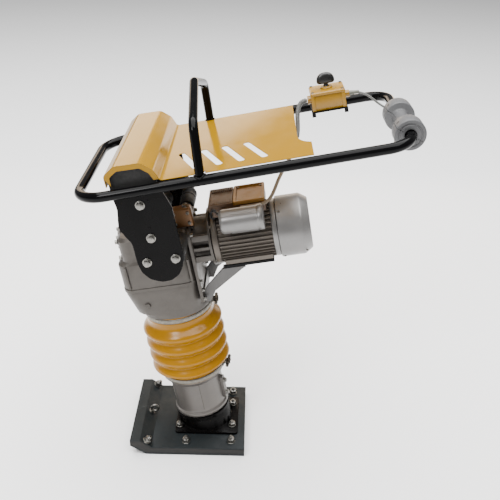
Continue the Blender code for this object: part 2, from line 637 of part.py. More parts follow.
tbox = box(145 * MM, 289 * MM, -56 * MM, 50 * MM, 602.4 * MM, 628 * MM)
tbox = cut(tbox, box(149 * MM, 285 * MM, -52 * MM, 46 * MM, 606 * MM, 640 * MM))
node("terminal_box", tbox, TAN, LEG)
lid = loft(
    [[(x, y, z) for x, y in rounded(144 * MM, 290 * MM, -57 * MM, 51 * MM, 5 * MM, 3)] for z in (628.3 * MM, 636 * MM)]
    + [[(x, y, 639 * MM) for x, y in rounded(148 * MM, 286 * MM, -53 * MM, 47 * MM, 4 * MM, 3)]]
)
node("terminal_lid", lid, ORANGE, LEG)

# welded bracket under the motor: two gussets, a pad under each foot and a cross plate against the gear case
gusset = [(214, 459.7), (150, 459.7), (101, 414), (94, 404), (88.3, 400), (88.3, 368), (103, 366), (121, 397)]
bracket = prism([(b * MM, a * MM) for b, a in gusset], "Y", -69 * MM, -63 * MM)
bracket = join(
    bracket,
    prism([(b * MM, a * MM) for b, a in gusset], "Y", 63 * MM, 69 * MM),
    box(152 * MM, 212 * MM, -70 * MM, -46 * MM, 455.7 * MM, 459.7 * MM),
    box(152 * MM, 212 * MM, 46 * MM, 70 * MM, 455.7 * MM, 459.7 * MM),
    box(88.3 * MM, 92.3 * MM, -66 * MM, 66 * MM, 368 * MM, 400 * MM),
)
node("motor_bracket", bracket, BLACK, LEG)

# ---------------------------------------------------------------- rubber buffers between crankcase and handle
n = 0
for side in (-1, 1):
    for x, z in BUFFERS:
        n += 1
        prof = [(0, 153), (21, 153), (22, 158), (18.5, 168), (18.5, 180), (22, 190), (21, 195.6), (0, 195.6)]
        me = turned([(r * MM, side * t * MM) for r, t in prof], "Y", x * MM, z * MM, 16)
        node(f"rubber_buffer_{n}", me, BUFFER, LEG)

# ---------------------------------------------------------------- handle, in the handle frame
outline = [(-47, -11.3), (-44, -40), (-54, -86), (-43, -112), (-32, -131), (-33, -187), (-28, -212), (-12, -234), (15, -246), (39, -245),
           (61, -232), (75, -209), (82, -168), (81, -105), (83, -57), (74, -27), (69, -11.3)]
narrow = outline[:11] + [(75, -209), (79, -182), (69, -140), (66, -105), (66, -57), (60, -27), (54, -11.3)]
for name, side in (("side_plate_left", -1), ("side_plate_right", 1)):
    if side > 0:
        outline = narrow  # the right-hand plate is narrower behind
    lo, hi = sorted((side * 196.0 * MM, side * 202.0 * MM))
    me = prism([(u * MM, h * MM) for u, h in outline], "Y", lo, hi)
    for u, h in ((11, -38), (16, -125), (-9, -187), (61, -188)):
        a, b = sorted((side * 201.5 * MM, side * 204.5 * MM))
        c, d = sorted((side * 204.0 * MM, side * 213.0 * MM))
        me = join(me, rod("Y", 11.5 * MM, a, b, u * MM, h * MM, 14), prism(hexagon(17 * MM, u * MM, h * MM), "Y", c, d))
    node(name, me, BLACK, HANDLE)

corners = [(FRAME_FRONT, -RAIL_Y, 0), (FRAME_REAR, -RAIL_Y, 0), (FRAME_REAR, RAIL_Y, 0), (FRAME_FRONT, RAIL_Y, 0)]
turns = [FRAME_CORNER_FRONT, FRAME_CORNER_REAR, FRAME_CORNER_REAR, FRAME_CORNER_FRONT]
loop = swept(bent(corners, turns, 6, closed=True), RAIL_R, 10, closed=True)
# the switch's shelf is welded to the right-hand rail
shelf = join(
    box(440 * MM, 535 * MM, 118 * MM, 204 * MM, 6.2 * MM, 9.2 * MM),
    box(440 * MM, 450 * MM, 118 * MM, 122 * MM, -4 * MM, 7 * MM),
    box(525 * MM, 535 * MM, 118 * MM, 122 * MM, -4 * MM, 7 * MM),
)
node("handle_frame", join(loop, shelf), BLACK, HANDLE)

BAIL_R = 11.0 * MM
bail = bent(
    [(163 * MM, -205.5 * MM, 9.0 * MM), (170 * MM, -185 * MM, 121 * MM), (169 * MM, 0, 173 * MM), (170 * MM, 185 * MM, 121 * MM), (163 * MM, 205.5 * MM, 9.0 * MM)],
    [0, 30 * MM, 26 * MM, 30 * MM, 0],
    5,
)
bail = swept(bail, BAIL_R, 10)
bail = cut(bail, box(100 * MM, 220 * MM, -260 * MM, 260 * MM, -20 * MM, 12.9 * MM))
node("lifting_bail", bail, BLACK, HANDLE)

# sheet cover: a flat deck with an arched hood over the front
TOP = COVER_H + SHEET
hood = bent([(-55 * MM, 0, 17 * MM), (-55 * MM, 0, 46 * MM), (-26 * MM, 0, 65 * MM), (36 * MM, 0, 63 * MM), (61 * MM, 0, 42 * MM), (72 * MM, 0, TOP),
             (424 * MM, 0, TOP)], [0, 12 * MM, 22 * MM, 22 * MM, 16 * MM, 8 * MM, 0], 3)


def inward(path, t):
    """The path moved by t to its underside."""
    out = []
    for i, p in enumerate(path):
        d = (path[min(i + 1, len(path) - 1)] - path[max(i - 1, 0)]).normalized()
        out.append(p + Vector((d.z, 0, -d.x)) * t)
    return out


inside = inward(hood, SHEET)
sheet = prism([(p.x, p.z) for p in hood] + [(p.x, p.z) for p in reversed(inside)], "Y", -COVER_Y, COVER_Y)
arch = [p for p in inward(hood, 0.8 * MM) if p.x < 71 * MM and p.z > 17 * MM]
lip = [(p.x, p.z) for p in arch] + [(x * MM, z * MM) for x, z in ((57, 17.5), (49.8, 34.8), (31.5, 50.2), (-22, 51.9), (-42, 39), (-42, 17.5))]
for side in (-1, 1):
    lo, hi = sorted((side * (COVER_Y - 0.2 * MM), side * (COVER_Y - SHEET)))
    sheet = join(sheet, prism(lip, "Y", lo, hi))
for u in (108, 163, 215, 269):
    slot = bent([(u * MM, -50 * MM, 0), ((u + 43) * MM, -157 * MM, 0)], 0)
    a, b = slot
    d = (b - a).normalized()
    s = Vector((-d.y, d.x, 0)) * 8.0 * MM
    ends = []
    for centre, start in ((b, math.atan2(-s.y, -s.x)), (a, math.atan2(s.y, s.x))):
        for k in range(7):
            t = start + math.pi * k / 6
            ends.append((centre.x + 8.0 * MM * math.cos(t), centre.y + 8.0 * MM * math.sin(t)))
    sheet = cut(sheet, prism(ends, "Z", 5 * MM, 25 * MM))
notch = [(393, 230), (393, -58), (396, -80), (403, -97), (412, -108), (425, -115), (440, -117), (440, 230)]
sheet = cut(sheet, prism([(u * MM, y * MM) for u, y in notch], "Z", 0, 40 * MM))
for side in (-1, 1):
    lo, hi = sorted((side * 192.5 * MM, side * 220.0 * MM))
    sheet = cut(sheet, box(151 * MM, 176 * MM, lo, hi, 5 * MM, 30 * MM))
node("cover_sheet", sheet, YELLOW, HANDLE)

# ---------------------------------------------------------------- switch
SW_U, SW_Y = 487.5 * MM, 158.5 * MM
sbox = box(445 * MM, 530 * MM, 124 * MM, 193 * MM, 9.5 * MM, 50 * MM)
for u in (447.5, 527.5):
    sbox = join(sbox, box((u - 4.5) * MM, (u + 4.5) * MM, 121.5 * MM, 127 * MM, 9.5 * MM, 50 * MM))
sbox = join(sbox, rod("X", 11 * MM, 434 * MM, 446 * MM, SW_Y, 33 * MM, 16), rod("X", 9.5 * MM, 529 * MM, 545 * MM, SW_Y, 33 * MM, 16))
sbox = cut(sbox, box(449 * MM, 526 * MM, 128 * MM, 189 * MM, 14 * MM, 60 * MM))
node("switch_box", sbox, ORANGE, HANDLE)
node("switch_lid", loft([[(x, y, z) for x, y in rounded(442 * MM, 533 * MM, 120.5 * MM, 196 * MM, 5 * MM, 3)] for z in (50.3 * MM, 56 * MM)]
                        + [[(x, y, 58.7 * MM) for x, y in rounded(444.5 * MM, 530.5 * MM, 123 * MM, 193.5 * MM, 4 * MM, 3)]]), ORANGE, HANDLE)
knob = rod("Z", 16 * MM, 0.3 * MM, 6 * MM, n=24)
knob = join(knob, rod("Z", 6.5 * MM, 5 * MM, 21 * MM, n=16), prism(rounded(-22 * MM, 22 * MM, -6 * MM, 6 * MM, 5.5 * MM, 3), "Z", 20 * MM, 40 * MM))
node("switch_knob", knob, BUFFER, HANDLE, (SW_U, SW_Y, 58.7 * MM))

# ---------------------------------------------------------------- leads


def smooth_line(route, spacing):
    """Points along a clamped cubic B-spline on the route's points, at an even spacing."""
    ctrl = [Vector(p) * MM for p in route]
    ctrl = [ctrl[0] * 2 - ctrl[1]] + ctrl + [ctrl[-1] * 2 - ctrl[-2]]
    fine = []
    for i in range(len(ctrl) - 3):
        p0, p1, p2, p3 = ctrl[i : i + 4]
        for k in range(40):
            t = k / 40
            fine.append((p0 * (1 - t) ** 3 + p1 * (3 * t ** 3 - 6 * t * t + 4) + p2 * (1 + 3 * t + 3 * t * t - 3 * t ** 3) + p3 * t ** 3) / 6)
    fine.append(ctrl[-2].copy())
    at = [0.0]
    for p, q in zip(fine[:-1], fine[1:]):
        at.append(at[-1] + (q - p).length)
    steps = max(2, round(at[-1] / spacing))
    out, j = [], 0
    for k in range(steps + 1):
        want = at[-1] * k / steps
        while j < len(at) - 2 and at[j + 1] < want:
            j += 1
        out.append(fine[j].lerp(fine[j + 1], (want - at[j]) / (at[j + 1] - at[j])))
    return out


def cable(name, route, r, mat):
    keep = smooth_line(route, 5.0 * r)
    cu = bpy.data.curves.new(name, "CURVE")
    cu.dimensions = "3D"
    cu.bevel_depth = r
    cu.bevel_resolution = 2
    cu.use_fill_caps = True
    sp = cu.splines.new("POLY")
    sp.points.add(len(keep) - 1)
    for q, p in zip(sp.points, keep):
        q.co = (*p, 1.0)
    cu.materials.append(mat)
    ob = bpy.data.objects.new(name, cu)
    SCENE.collection.objects.link(ob)
    ob.parent = HANDLE
    return ob


# from the switch box's front gland, round the cover's end, forward over the motor and along the terminal box's near side
MOTOR_LEAD = (
    (432.5, 158.5, 33), (422, 158.5, 33), (412, 157.5, 28), (401, 148, 6), (399, 128, -24), (392, 98, -46), (376, 52, -64), (352, 4, -80),
    (330, -26, -98), (316, -42, -120.1), (303.7, -54, -134.9), (289.6, -62, -143.2), (272, -62.2, -144.9), (256, -62.2, -145.0), (237.6, -62.2, -144.8), (224, -62.2, -144.5),
)
cable("motor_lead", MOTOR_LEAD, 4.5 * MM, CABLE)
# supply lead: out of the rear gland, along the rail and under the rear tube into the hank's top
SUPPLY_LEAD = (
    (545.4, 158.5, 33), (556, 158.5, 33), (574, 157.5, 31), (594, 154, 20), (612, 147, 0), (631, 138, -17), (647, 128, -21.5), (657, 116, -18.5), (659.8, 104.5, -17.2),
)
cable("supply_lead", SUPPLY_LEAD, LEAD_R, CABLE)

# the spare length, folded up and tied under the rear tube, with the plug beside it
HANK_U, HANK_Y, HANK_TOP, HANK_END, HANK_HALF = 652.0, 88.0, -14.0, -112.0, 21.0
run = []
for cz, a0 in ((HANK_TOP - HANK_HALF, 0), (HANK_END + HANK_HALF, 180)):
    for k in range(7):
        a = math.radians(a0 + 180 * k / 6)
        run.append(((HANK_Y + HANK_HALF * math.cos(a)) * MM, (cz + HANK_HALF * math.sin(a)) * MM))
node("lead_hank", prism(run, "X", (HANK_U - 10) * MM, (HANK_U + 11) * MM), CABLE, HANDLE)
PLUG_U, PLUG_Y, PLUG_LOW = 649.0, 134.0, -85.5
plug = turned([(r * MM, (PLUG_LOW + t) * MM) for r, t in ((0, 0), (4.2, 0), (5.4, 15), (11, 19), (16, 28), (16, 41), (14.5, 43), (0, 43))], "Z", PLUG_U * MM, PLUG_Y * MM, 20)
for dx, dy in ((-6, -4), (6, -4), (0, 6)):
    x, y = (PLUG_U + dx) * MM, (PLUG_Y + dy) * MM
    plug = join(plug, box(x - 1 * MM, x + 1 * MM, y - 3 * MM, y + 3 * MM, (PLUG_LOW + 42) * MM, (PLUG_LOW + 56) * MM))
node("supply_plug", plug, BUFFER, HANDLE)

# ---------------------------------------------------------------- transport roller, two halves around the rear tube
SLIT = math.radians(-37)
roller = [(14.5, 0), (34, 0), (37, 3), (37, 42), (34, 45), (21, 47), (18.5, 60), (18.5, 125), (21, 138), (34, 140), (37, 143), (37, 182), (34, 185), (14.5, 185)]
for name, start in (("roller_half_a", SLIT), ("roller_half_b", SLIT + math.pi)):
    secs = []
    lap = GAP / 2 / (14.5 * MM)
    for k in range(14):
        a = start + lap + (math.pi - 2 * lap) * k / 13
        secs.append([(r * MM * math.cos(a), t * MM, r * MM * math.sin(a)) for r, t in roller])
    node(name, loft(secs), GREY, HANDLE, (FRAME_REAR, -148.0 * MM, 0))
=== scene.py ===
"""Electric tamping rammer: the looks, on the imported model's frame."""
import math

import bpy
import bmesh
import numpy as np
from mathutils import Matrix, Vector


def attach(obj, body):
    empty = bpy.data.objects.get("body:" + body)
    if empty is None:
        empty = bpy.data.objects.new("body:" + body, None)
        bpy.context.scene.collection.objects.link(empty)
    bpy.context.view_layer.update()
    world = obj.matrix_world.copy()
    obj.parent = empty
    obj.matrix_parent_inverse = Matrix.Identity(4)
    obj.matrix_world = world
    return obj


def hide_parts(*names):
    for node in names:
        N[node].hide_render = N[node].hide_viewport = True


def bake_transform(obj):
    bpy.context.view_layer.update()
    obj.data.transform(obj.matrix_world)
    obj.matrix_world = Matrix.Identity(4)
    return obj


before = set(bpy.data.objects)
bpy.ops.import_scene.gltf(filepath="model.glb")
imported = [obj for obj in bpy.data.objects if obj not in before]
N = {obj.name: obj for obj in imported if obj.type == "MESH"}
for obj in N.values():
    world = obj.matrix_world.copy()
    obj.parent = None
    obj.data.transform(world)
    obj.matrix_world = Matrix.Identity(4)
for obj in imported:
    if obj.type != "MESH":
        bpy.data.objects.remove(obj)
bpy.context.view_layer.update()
MM = 0.001
SCENE = bpy.context.scene
LEG_TILT = math.radians(10.57)
PITCH = math.radians(11.55)
O = Vector((10.2 * MM, 0, 100 * MM))
LEG_UP = Vector((-math.sin(LEG_TILT), 0, math.cos(LEG_TILT)))
M_LEG = Matrix.Translation(O) @ Matrix.Rotation(-LEG_TILT, 4, "Y")
M_H = Matrix.Translation(O + LEG_UP * 763.7 * MM) @ Matrix.Rotation(-PITCH, 4, "Y")
M_W = Matrix.Identity(4)

# ------------------------------------------------------------------ camera
AZ, EL, ROLL = math.radians(-0.124), math.radians(27.532), math.radians(1.383)
fwd = Vector((-math.sin(AZ) * math.cos(EL), math.cos(AZ) * math.cos(EL), -math.sin(EL)))
right = Vector((math.cos(AZ), math.sin(AZ), 0))
up = right.cross(fwd)
r_ = right * math.cos(ROLL) + up * math.sin(ROLL)
u_ = -right * math.sin(ROLL) + up * math.cos(ROLL)
cam_data = bpy.data.cameras.new("camera")
cam_data.lens = 51.97
cam_data.sensor_width = 36.0
cam = bpy.data.objects.new("camera", cam_data)
SCENE.collection.objects.link(cam)
b_ = -fwd
cam.matrix_world = Matrix(((r_.x, u_.x, b_.x, 0.1417), (r_.y, u_.y, b_.y, -1.7244), (r_.z, u_.z, b_.z, 1.4999), (0, 0, 0, 1)))
SCENE.camera = cam

# ------------------------------------------------------------------ mesh helpers


def shape(verts, faces):
    bm = bmesh.new()
    vs = [bm.verts.new(v) for v in verts]
    for f in faces:
        bm.faces.new([vs[i] for i in f])
    bmesh.ops.recalc_face_normals(bm, faces=bm.faces[:])
    me = bpy.data.meshes.new("shape")
    bm.to_mesh(me)
    bm.free()
    return me


def loft(sections):
    n = len(sections[0])
    verts = [p for s in sections for p in s]
    faces = [tuple(range(n)), tuple(reversed(range(len(verts) - n, len(verts))))]
    for k in range(len(sections) - 1):
        a, b = k * n, (k + 1) * n
        faces += [(a + i, a + (i + 1) % n, b + (i + 1) % n, b + i) for i in range(n)]
    return shape(verts, faces)


def place(axis, t, a, b):
    return {"X": (t, a, b), "Y": (a, t, b), "Z": (a, b, t)}[axis]


def prism(poly, axis, lo, hi):
    return loft([[place(axis, t * MM, p * MM, q * MM) for p, q in poly] for t in (lo, hi)])


def box(x0, x1, y0, y1, z0, z1):
    return prism([(x0, y0), (x1, y0), (x1, y1), (x0, y1)], "Z", z0, z1)


def circle(r, n, cx=0.0, cy=0.0, start=0.0):
    return [(cx + r * math.cos(start + 2 * math.pi * i / n), cy + r * math.sin(start + 2 * math.pi * i / n)) for i in range(n)]


def rod(axis, r, lo, hi, a=0.0, b=0.0, n=32, start=0.0):
    return prism(circle(r, n, a, b, start), axis, lo, hi)


def turned(profile, axis="Z", a=0.0, b=0.0, n=48):
    verts, rings = [], []
    for r, t in profile:
        if r <= 0.0:
            rings.append([len(verts)])
            verts.append(place(axis, t * MM, a * MM, b * MM))
        else:
            rings.append(list(range(len(verts), len(verts) + n)))
            verts += [place(axis, t * MM, p * MM, q * MM) for p, q in circle(r, n, a, b)]
    faces = []
    pairs = list(zip(rings[:-1], rings[1:]))
    if profile[0][0] > 0 and profile[-1][0] > 0:
        pairs.append((rings[-1], rings[0]))
    for p, q in pairs:
        for i in range(n):
            j = (i + 1) % n
            if len(p) == 1 and len(q) == 1:
                continue
            if len(p) == 1:
                faces.append((p[0], q[j], q[i]))
            elif len(q) == 1:
                faces.append((p[i], p[j], q[0]))
            else:
                faces.append((p[i], p[j], q[j], q[i]))
    return shape(verts, faces)


def rounded(x0, x1, y0, y1, r, n=6):
    pts = []
    for cx, cy, a0 in ((x1 - r, y1 - r, 0), (x0 + r, y1 - r, 90), (x0 + r, y0 + r, 180), (x1 - r, y0 + r, 270)):
        for i in range(n + 1):
            a = math.radians(a0 + 90 * i / n)
            pts.append((cx + r * math.cos(a), cy + r * math.sin(a)))
    return pts


def swept(path, r, n=24, closed=False):
    """path in millimetres; r a number or a list, one for each point."""
    path = [Vector(p) * MM for p in path]
    rs = [x * MM for x in (r if isinstance(r, (list, tuple)) else [r] * len(path))]
    count = len(path)
    tang = []
    for i in range(count):
        before = path[i - 1] if closed or i else path[0]
        after = path[(i + 1) % count] if closed or i < count - 1 else path[-1]
        tang.append((after - before).normalized())
    side = tang[0].orthogonal().normalized()
    secs = []
    for p, t, rr in zip(path, tang, rs):
        side = (side - t * side.dot(t)).normalized()
        other = t.cross(side)
        secs.append([p + side * (rr * math.cos(2 * math.pi * k / n)) + other * (rr * math.sin(2 * math.pi * k / n)) for k in range(n)])
    if not closed:
        return loft(secs)
    verts = [p for s in secs for p in s]
    last, first = secs[-1], secs[0]
    turn = min(range(n), key=lambda k: sum((last[i] - first[(i + k) % n]).length for i in range(n)))
    faces = []
    for k in range(count):
        a, b = k * n, ((k + 1) % count) * n
        sh = turn if k == count - 1 else 0
        faces += [(a + i, a + (i + 1) % n, b + (i + 1 + sh) % n, b + (i + sh) % n) for i in range(n)]
    return shape(verts, faces)


def bent(points, radius, steps=14, closed=False):
    pts = [Vector(p) for p in points]
    out = []
    for i, p in enumerate(pts):
        if not closed and i in (0, len(pts) - 1):
            out.append(p)
            continue
        r = radius[i] if isinstance(radius, (list, tuple)) else radius
        a0 = (pts[i - 1] - p).normalized()
        b0 = (pts[(i + 1) % len(pts)] - p).normalized()
        half = a0.angle(b0) / 2
        run = r / math.tan(half)
        middle = p + (a0 + b0).normalized() * (r / math.sin(half))
        a, b = p + a0 * run - middle, p + b0 * run - middle
        sw = a.angle(b)
        for k in range(steps + 1):
            t = k / steps
            out.append(middle + (a * math.sin((1 - t) * sw) + b * math.sin(t * sw)) / math.sin(sw))
    return out


def spread(path, step):
    """Adds points on long straight stretches."""
    out = [path[0]]
    for p, q in zip(path[:-1], path[1:]):
        k = max(1, int((q - p).length / step))
        out += [p.lerp(q, (i + 1) / k) for i in range(k)]
    return out


def moved(me, matrix):
    me.transform(matrix)
    return me


def shifted(me, x, y, z):
    return moved(me, Matrix.Translation((x * MM, y * MM, z * MM)))


def combine(me, other, operation):
    a = bpy.data.objects.new("a", me)
    b = bpy.data.objects.new("b", other)
    SCENE.collection.objects.link(a)
    SCENE.collection.objects.link(b)
    m = a.modifiers.new("b", "BOOLEAN")
    m.object = b
    m.operation = operation
    m.solver = "EXACT"
    g = bpy.context.evaluated_depsgraph_get()
    g.update()
    out = bpy.data.meshes.new_from_object(a.evaluated_get(g))
    bpy.data.objects.remove(a, do_unlink=True)
    bpy.data.objects.remove(b, do_unlink=True)
    return out


def join(me, *others):
    for o in others:
        me = combine(me, o, "UNION")
    return me


def cut(me, *others):
    for o in others:
        me = combine(me, o, "DIFFERENCE")
    return me


def heap(*meshes):
    """Several separate meshes as one."""
    bm = bmesh.new()
    for me in meshes:
        bm.from_mesh(me)
    out = bpy.data.meshes.new("heap")
    bm.to_mesh(out)
    bm.free()
    return out


def piece(name, me, mat, body, m=M_W, bevel=0.0, segments=2, angle=34, replaces=()):
    me.transform(m)
    me.name = name
    me.materials.clear()
    me.materials.append(mat)
    me.shade_smooth()
    me.set_sharp_from_angle(angle=math.radians(angle))
    ob = bpy.data.objects.new(name, me)
    SCENE.collection.objects.link(ob)
    if bevel:
        b = ob.modifiers.new("edges", "BEVEL")
        b.width = bevel * MM
        b.segments = segments
        b.limit_method = "ANGLE"
        b.angle_limit = math.radians(angle)
        b.harden_normals = True
    if replaces:
        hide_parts(*replaces)
    if body:
        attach(ob, body)
    return ob


def hexagon(across, cx=0.0, cy=0.0, turn=0.0):
    return circle(across / 2 / math.cos(math.pi / 6), 6, cx, cy, turn)


def nut(across, height, z0=0.0, turn=0.0):
    """Hexagon with its corners turned off at the top."""
    h = prism(hexagon(across, 0, 0, turn), "Z", z0, z0 + height)
    c = across / 2 / math.cos(math.pi / 6)
    cone = turned([(0, z0 - 1), (c + 1, z0 - 1), (c + 1, z0 + height - (c + 1 - across / 2 * 0.97) * 0.58), (across / 2 * 0.97, z0 + height), (0, z0 + height)], n=32)
    return combine(h, cone, "INTERSECT")


def thread(r, z0, z1, pitch=1.5):
    prof = [(0, z0)]
    z = z0
    while z < z1 - pitch:
        prof += [(r - 0.45 * pitch * 0.6, z), (r, z + pitch / 2)]
        z += pitch
    prof += [(r - 0.6, z), (r - 0.9, z1), (0, z1)]
    return turned(prof, n=20)


def washer(r, hole, z0, z1, n=32):
    return turned([(hole, z0), (r, z0), (r, z1 - 0.3), (r - 0.4, z1), (hole, z1)], n=n)


def screw_head(r, h, z0=0.0, socket=True):
    me = turned([(0, z0), (r, z0), (r, z0 + h - 0.8), (r - 0.8, z0 + h), (0, z0 + h)], n=28)
    if socket:
        me = cut(me, prism(hexagon(r * 1.1), "Z", z0 + h * 0.35, z0 + h + 2))
    return me


def toward(direction, at, turn=0.0):
    """Stands a Z-built fastener on a point, its top toward a direction."""
    q = Vector((0, 0, 1)).rotation_difference(Vector(direction).normalized())
    return Matrix.Translation(Vector(at) * MM) @ q.to_matrix().to_4x4() @ Matrix.Rotation(turn, 4, "Z")


# ------------------------------------------------------------------ materials
class Mat:
    def __init__(self, name, rgb, rough, metal=0.0, **sockets):
        self.m = bpy.data.materials.new(name)
        self.m.use_nodes = True
        self.t = self.m.node_tree
        self.p = self.t.nodes["Principled BSDF"]
        self.rgb = rgb
        self.p.inputs["Metallic"].default_value = metal
        self.p.inputs["Roughness"].default_value = rough
        for k, v in sockets.items():
            self.p.inputs[k.replace("_", " ")].default_value = v
        self.co = self.t.nodes.new("ShaderNodeTexCoord").outputs["Object"]
        self.colour = None
        self.heights = []

    def mapped(self, scale):
        n = self.t.nodes.new("ShaderNodeMapping")
        n.inputs["Scale"].default_value = scale
        self.t.links.new(self.co, n.inputs["Vector"])
        return n.outputs["Vector"]

    def noise(self, scale, detail=4.0, rough=0.55, stretch=None, seed=0.0):
        n = self.t.nodes.new("ShaderNodeTexNoise")
        n.noise_dimensions = "4D"
        n.inputs["W"].default_value = seed
        n.inputs["Scale"].default_value = scale
        n.inputs["Detail"].default_value = detail
        n.inputs["Roughness"].default_value = rough
        self.t.links.new(self.mapped(stretch) if stretch else self.co, n.inputs["Vector"])
        return n.outputs["Fac"]

    def voronoi(self, scale, feature="F1"):
        n = self.t.nodes.new("ShaderNodeTexVoronoi")
        n.feature = feature
        n.inputs["Scale"].default_value = scale
        self.t.links.new(self.co, n.inputs["Vector"])
        return n.outputs["Distance"]

    def ramp(self, fac, *stops):
        n = self.t.nodes.new("ShaderNodeMapRange")
        lo, hi, a, b = stops
        n.inputs["From Min"].default_value = lo
        n.inputs["From Max"].default_value = hi
        n.inputs["To Min"].default_value = a
        n.inputs["To Max"].default_value = b
        self.t.links.new(fac, n.inputs["Value"])
        return n.outputs["Result"]

    def tint(self, fac, rgb):
        """Mixes a colour over what is there so far, by a mask."""
        n = self.t.nodes.new("ShaderNodeMix")
        n.data_type = "RGBA"
        if self.colour is None:
            n.inputs["A"].default_value = (*self.rgb, 1)
        else:
            self.t.links.new(self.colour, n.inputs["A"])
        n.inputs["B"].default_value = (*rgb, 1)
        self.t.links.new(fac, n.inputs["Factor"])
        self.colour = n.outputs["Result"]
        return self

    def roughness(self, fac, lo, hi, a, b):
        self.t.links.new(self.ramp(fac, lo, hi, a, b), self.p.inputs["Roughness"])
        return self

    def bump(self, fac, strength, distance):
        n = self.t.nodes.new("ShaderNodeBump")
        n.inputs["Strength"].default_value = strength
        n.inputs["Distance"].default_value = distance
        self.t.links.new(fac, n.inputs["Height"])
        if self.heights:
            self.t.links.new(self.heights[-1], n.inputs["Normal"])
        self.heights.append(n.outputs["Normal"])
        return self

    def done(self):
        if self.colour is None:
            self.p.inputs["Base Color"].default_value = (*self.rgb, 1)
        else:
            self.t.links.new(self.colour, self.p.inputs["Base Color"])
        if self.heights:
            self.t.links.new(self.heights[-1], self.p.inputs["Normal"])
        return self.m


def gloss_paint(name, rgb, dusty, rough=0.16, peel=0.06, coat=0.6, level=0.5, dust=(0.42, 0.36, 0.28)):
    m = Mat(name, rgb, rough, 0.0, Coat_Weight=coat, Coat_Roughness=0.06, Specular_IOR_Level=level)
    m.tint(m.ramp(m.noise(9, 5), 0.35, 0.75, 0.0, 0.12), tuple(c * 0.82 for c in rgb))
    m.tint(m.ramp(m.noise(60, 6, 0.7, seed=3), 0.60, 0.80, 0.0, 0.25 * dusty), dust)
    m.tint(m.ramp(m.noise(240, 3, 0.6, stretch=(1, 1, 0.15), seed=7), 0.70, 0.74, 0.0, 0.30 * dusty), dust)
    m.roughness(m.noise(26, 5, 0.6, seed=5), 0.35, 0.75, rough * 0.75, rough * 1.6)
    m.bump(m.noise(420, 2, 0.5), peel, 0.0006)
    return m.done()


def cast_metal(name, rgb, metal=0.85, rough=0.45, grain=0.25):
    m = Mat(name, rgb, rough, metal)
    m.tint(m.ramp(m.noise(22, 6, 0.65), 0.35, 0.70, 0.0, 0.45), tuple(c * 0.72 for c in rgb))
    m.tint(m.ramp(m.noise(75, 6, 0.75, seed=2), 0.58, 0.72, 0.0, 0.35), tuple(min(1, c * 1.35) for c in rgb))
    m.tint(m.ramp(m.noise(13, 6, 0.8, seed=9), 0.60, 0.78, 0.0, 0.45), (0.11, 0.085, 0.06))
    m.roughness(m.noise(48, 5, 0.6, seed=4), 0.3, 0.75, rough * 0.8, rough * 1.35)
    m.bump(m.noise(900, 3, 0.6), grain, 0.0004)
    m.bump(m.noise(110, 3, 0.5, seed=6), grain * 0.6, 0.0008)
    return m.done()


def zinc_metal(name, rgb=(0.62, 0.62, 0.58), rough=0.3):
    m = Mat(name, rgb, rough, 1.0)
    m.tint(m.ramp(m.noise(160, 4, 0.7), 0.45, 0.75, 0.0, 0.5), (0.42, 0.40, 0.34))
    m.tint(m.ramp(m.noise(420, 3, 0.6, seed=4), 0.66, 0.74, 0.0, 0.6), (0.07, 0.05, 0.03))
    m.roughness(m.noise(300, 3), 0.3, 0.7, rough * 0.8, rough * 1.5)
    m.bump(m.noise(1500, 2), 0.08, 0.0003)
    return m.done()


def plastic(name, rgb, rough=0.45, grain=0.12, dirt=0.2):
    m = Mat(name, rgb, rough)
    m.tint(m.ramp(m.noise(18, 5), 0.35, 0.7, 0.0, 0.25), tuple(c * 0.86 for c in rgb))
    m.tint(m.ramp(m.noise(90, 6, 0.75, seed=5), 0.58, 0.76, 0.0, dirt), tuple(c * 0.45 for c in rgb))
    m.roughness(m.noise(70, 4, seed=2), 0.3, 0.7, rough * 0.85, rough * 1.2)
    m.bump(m.noise(1300, 2, 0.5), grain, 0.0003)
    return m.done()


YELLOW = gloss_paint("yellow_enamel", (0.25, 0.128, 0.0), 0.10, 0.12, 0.04, 0.0, 0.20, (0.20, 0.12, 0.02))
BLACK = gloss_paint("black_enamel", (0.0018, 0.0018, 0.002), 0.10, 0.10, 0.05, 0.0, 0.09, (0.05, 0.045, 0.04))
PLATE_BLACK = gloss_paint("black_plate_paint", (0.0018, 0.0016, 0.0016), 0.20, 0.26, 0.08, 0.0, 0.07, (0.05, 0.045, 0.04))
CAST = cast_metal("sand_cast_alloy", (0.066, 0.058, 0.050), 0.35, 0.44, 0.28)
BRIGHT = cast_metal("machined_casting", (0.115, 0.105, 0.096), 0.45, 0.34, 0.12)
SILVER = cast_metal("silver_paint", (0.19, 0.185, 0.18), 0.55, 0.34, 0.10)
FINMETAL = cast_metal("fin_casting", (0.10, 0.085, 0.07), 0.5, 0.40, 0.2)
GUSSET = cast_metal("grey_bracket_paint", (0.085, 0.082, 0.08), 0.4, 0.40, 0.15)
ZINC = zinc_metal("zinc_plate", (0.17, 0.165, 0.155))
BAND = zinc_metal("band_steel", (0.19, 0.178, 0.155), 0.5)
STEEL = zinc_metal("ground_steel", (0.35, 0.35, 0.34), 0.22)
DARKSTEEL = zinc_metal("blackened_steel", (0.035, 0.03, 0.027), 0.4)
ROLLER = plastic("grey_moulding", (0.078, 0.078, 0.080), 0.5, 0.15, 0.12)
BLACKPLASTIC = plastic("black_moulding", (0.004, 0.004, 0.004), 0.32, 0.15, 0.2)
BOXYELLOW = plastic("yellow_moulding", (0.25, 0.125, 0.0), 0.3, 0.10, 0.2)
TAN = plastic("brown_moulding", (0.085, 0.043, 0.018), 0.5, 0.12, 0.3)
WARM = cast_metal("warm_cast_alloy", (0.135, 0.062, 0.018), 0.3, 0.42, 0.2)
BUFFER = plastic("buffer_rubber", (0.005, 0.0045, 0.004), 0.7, 0.35, 0.3)

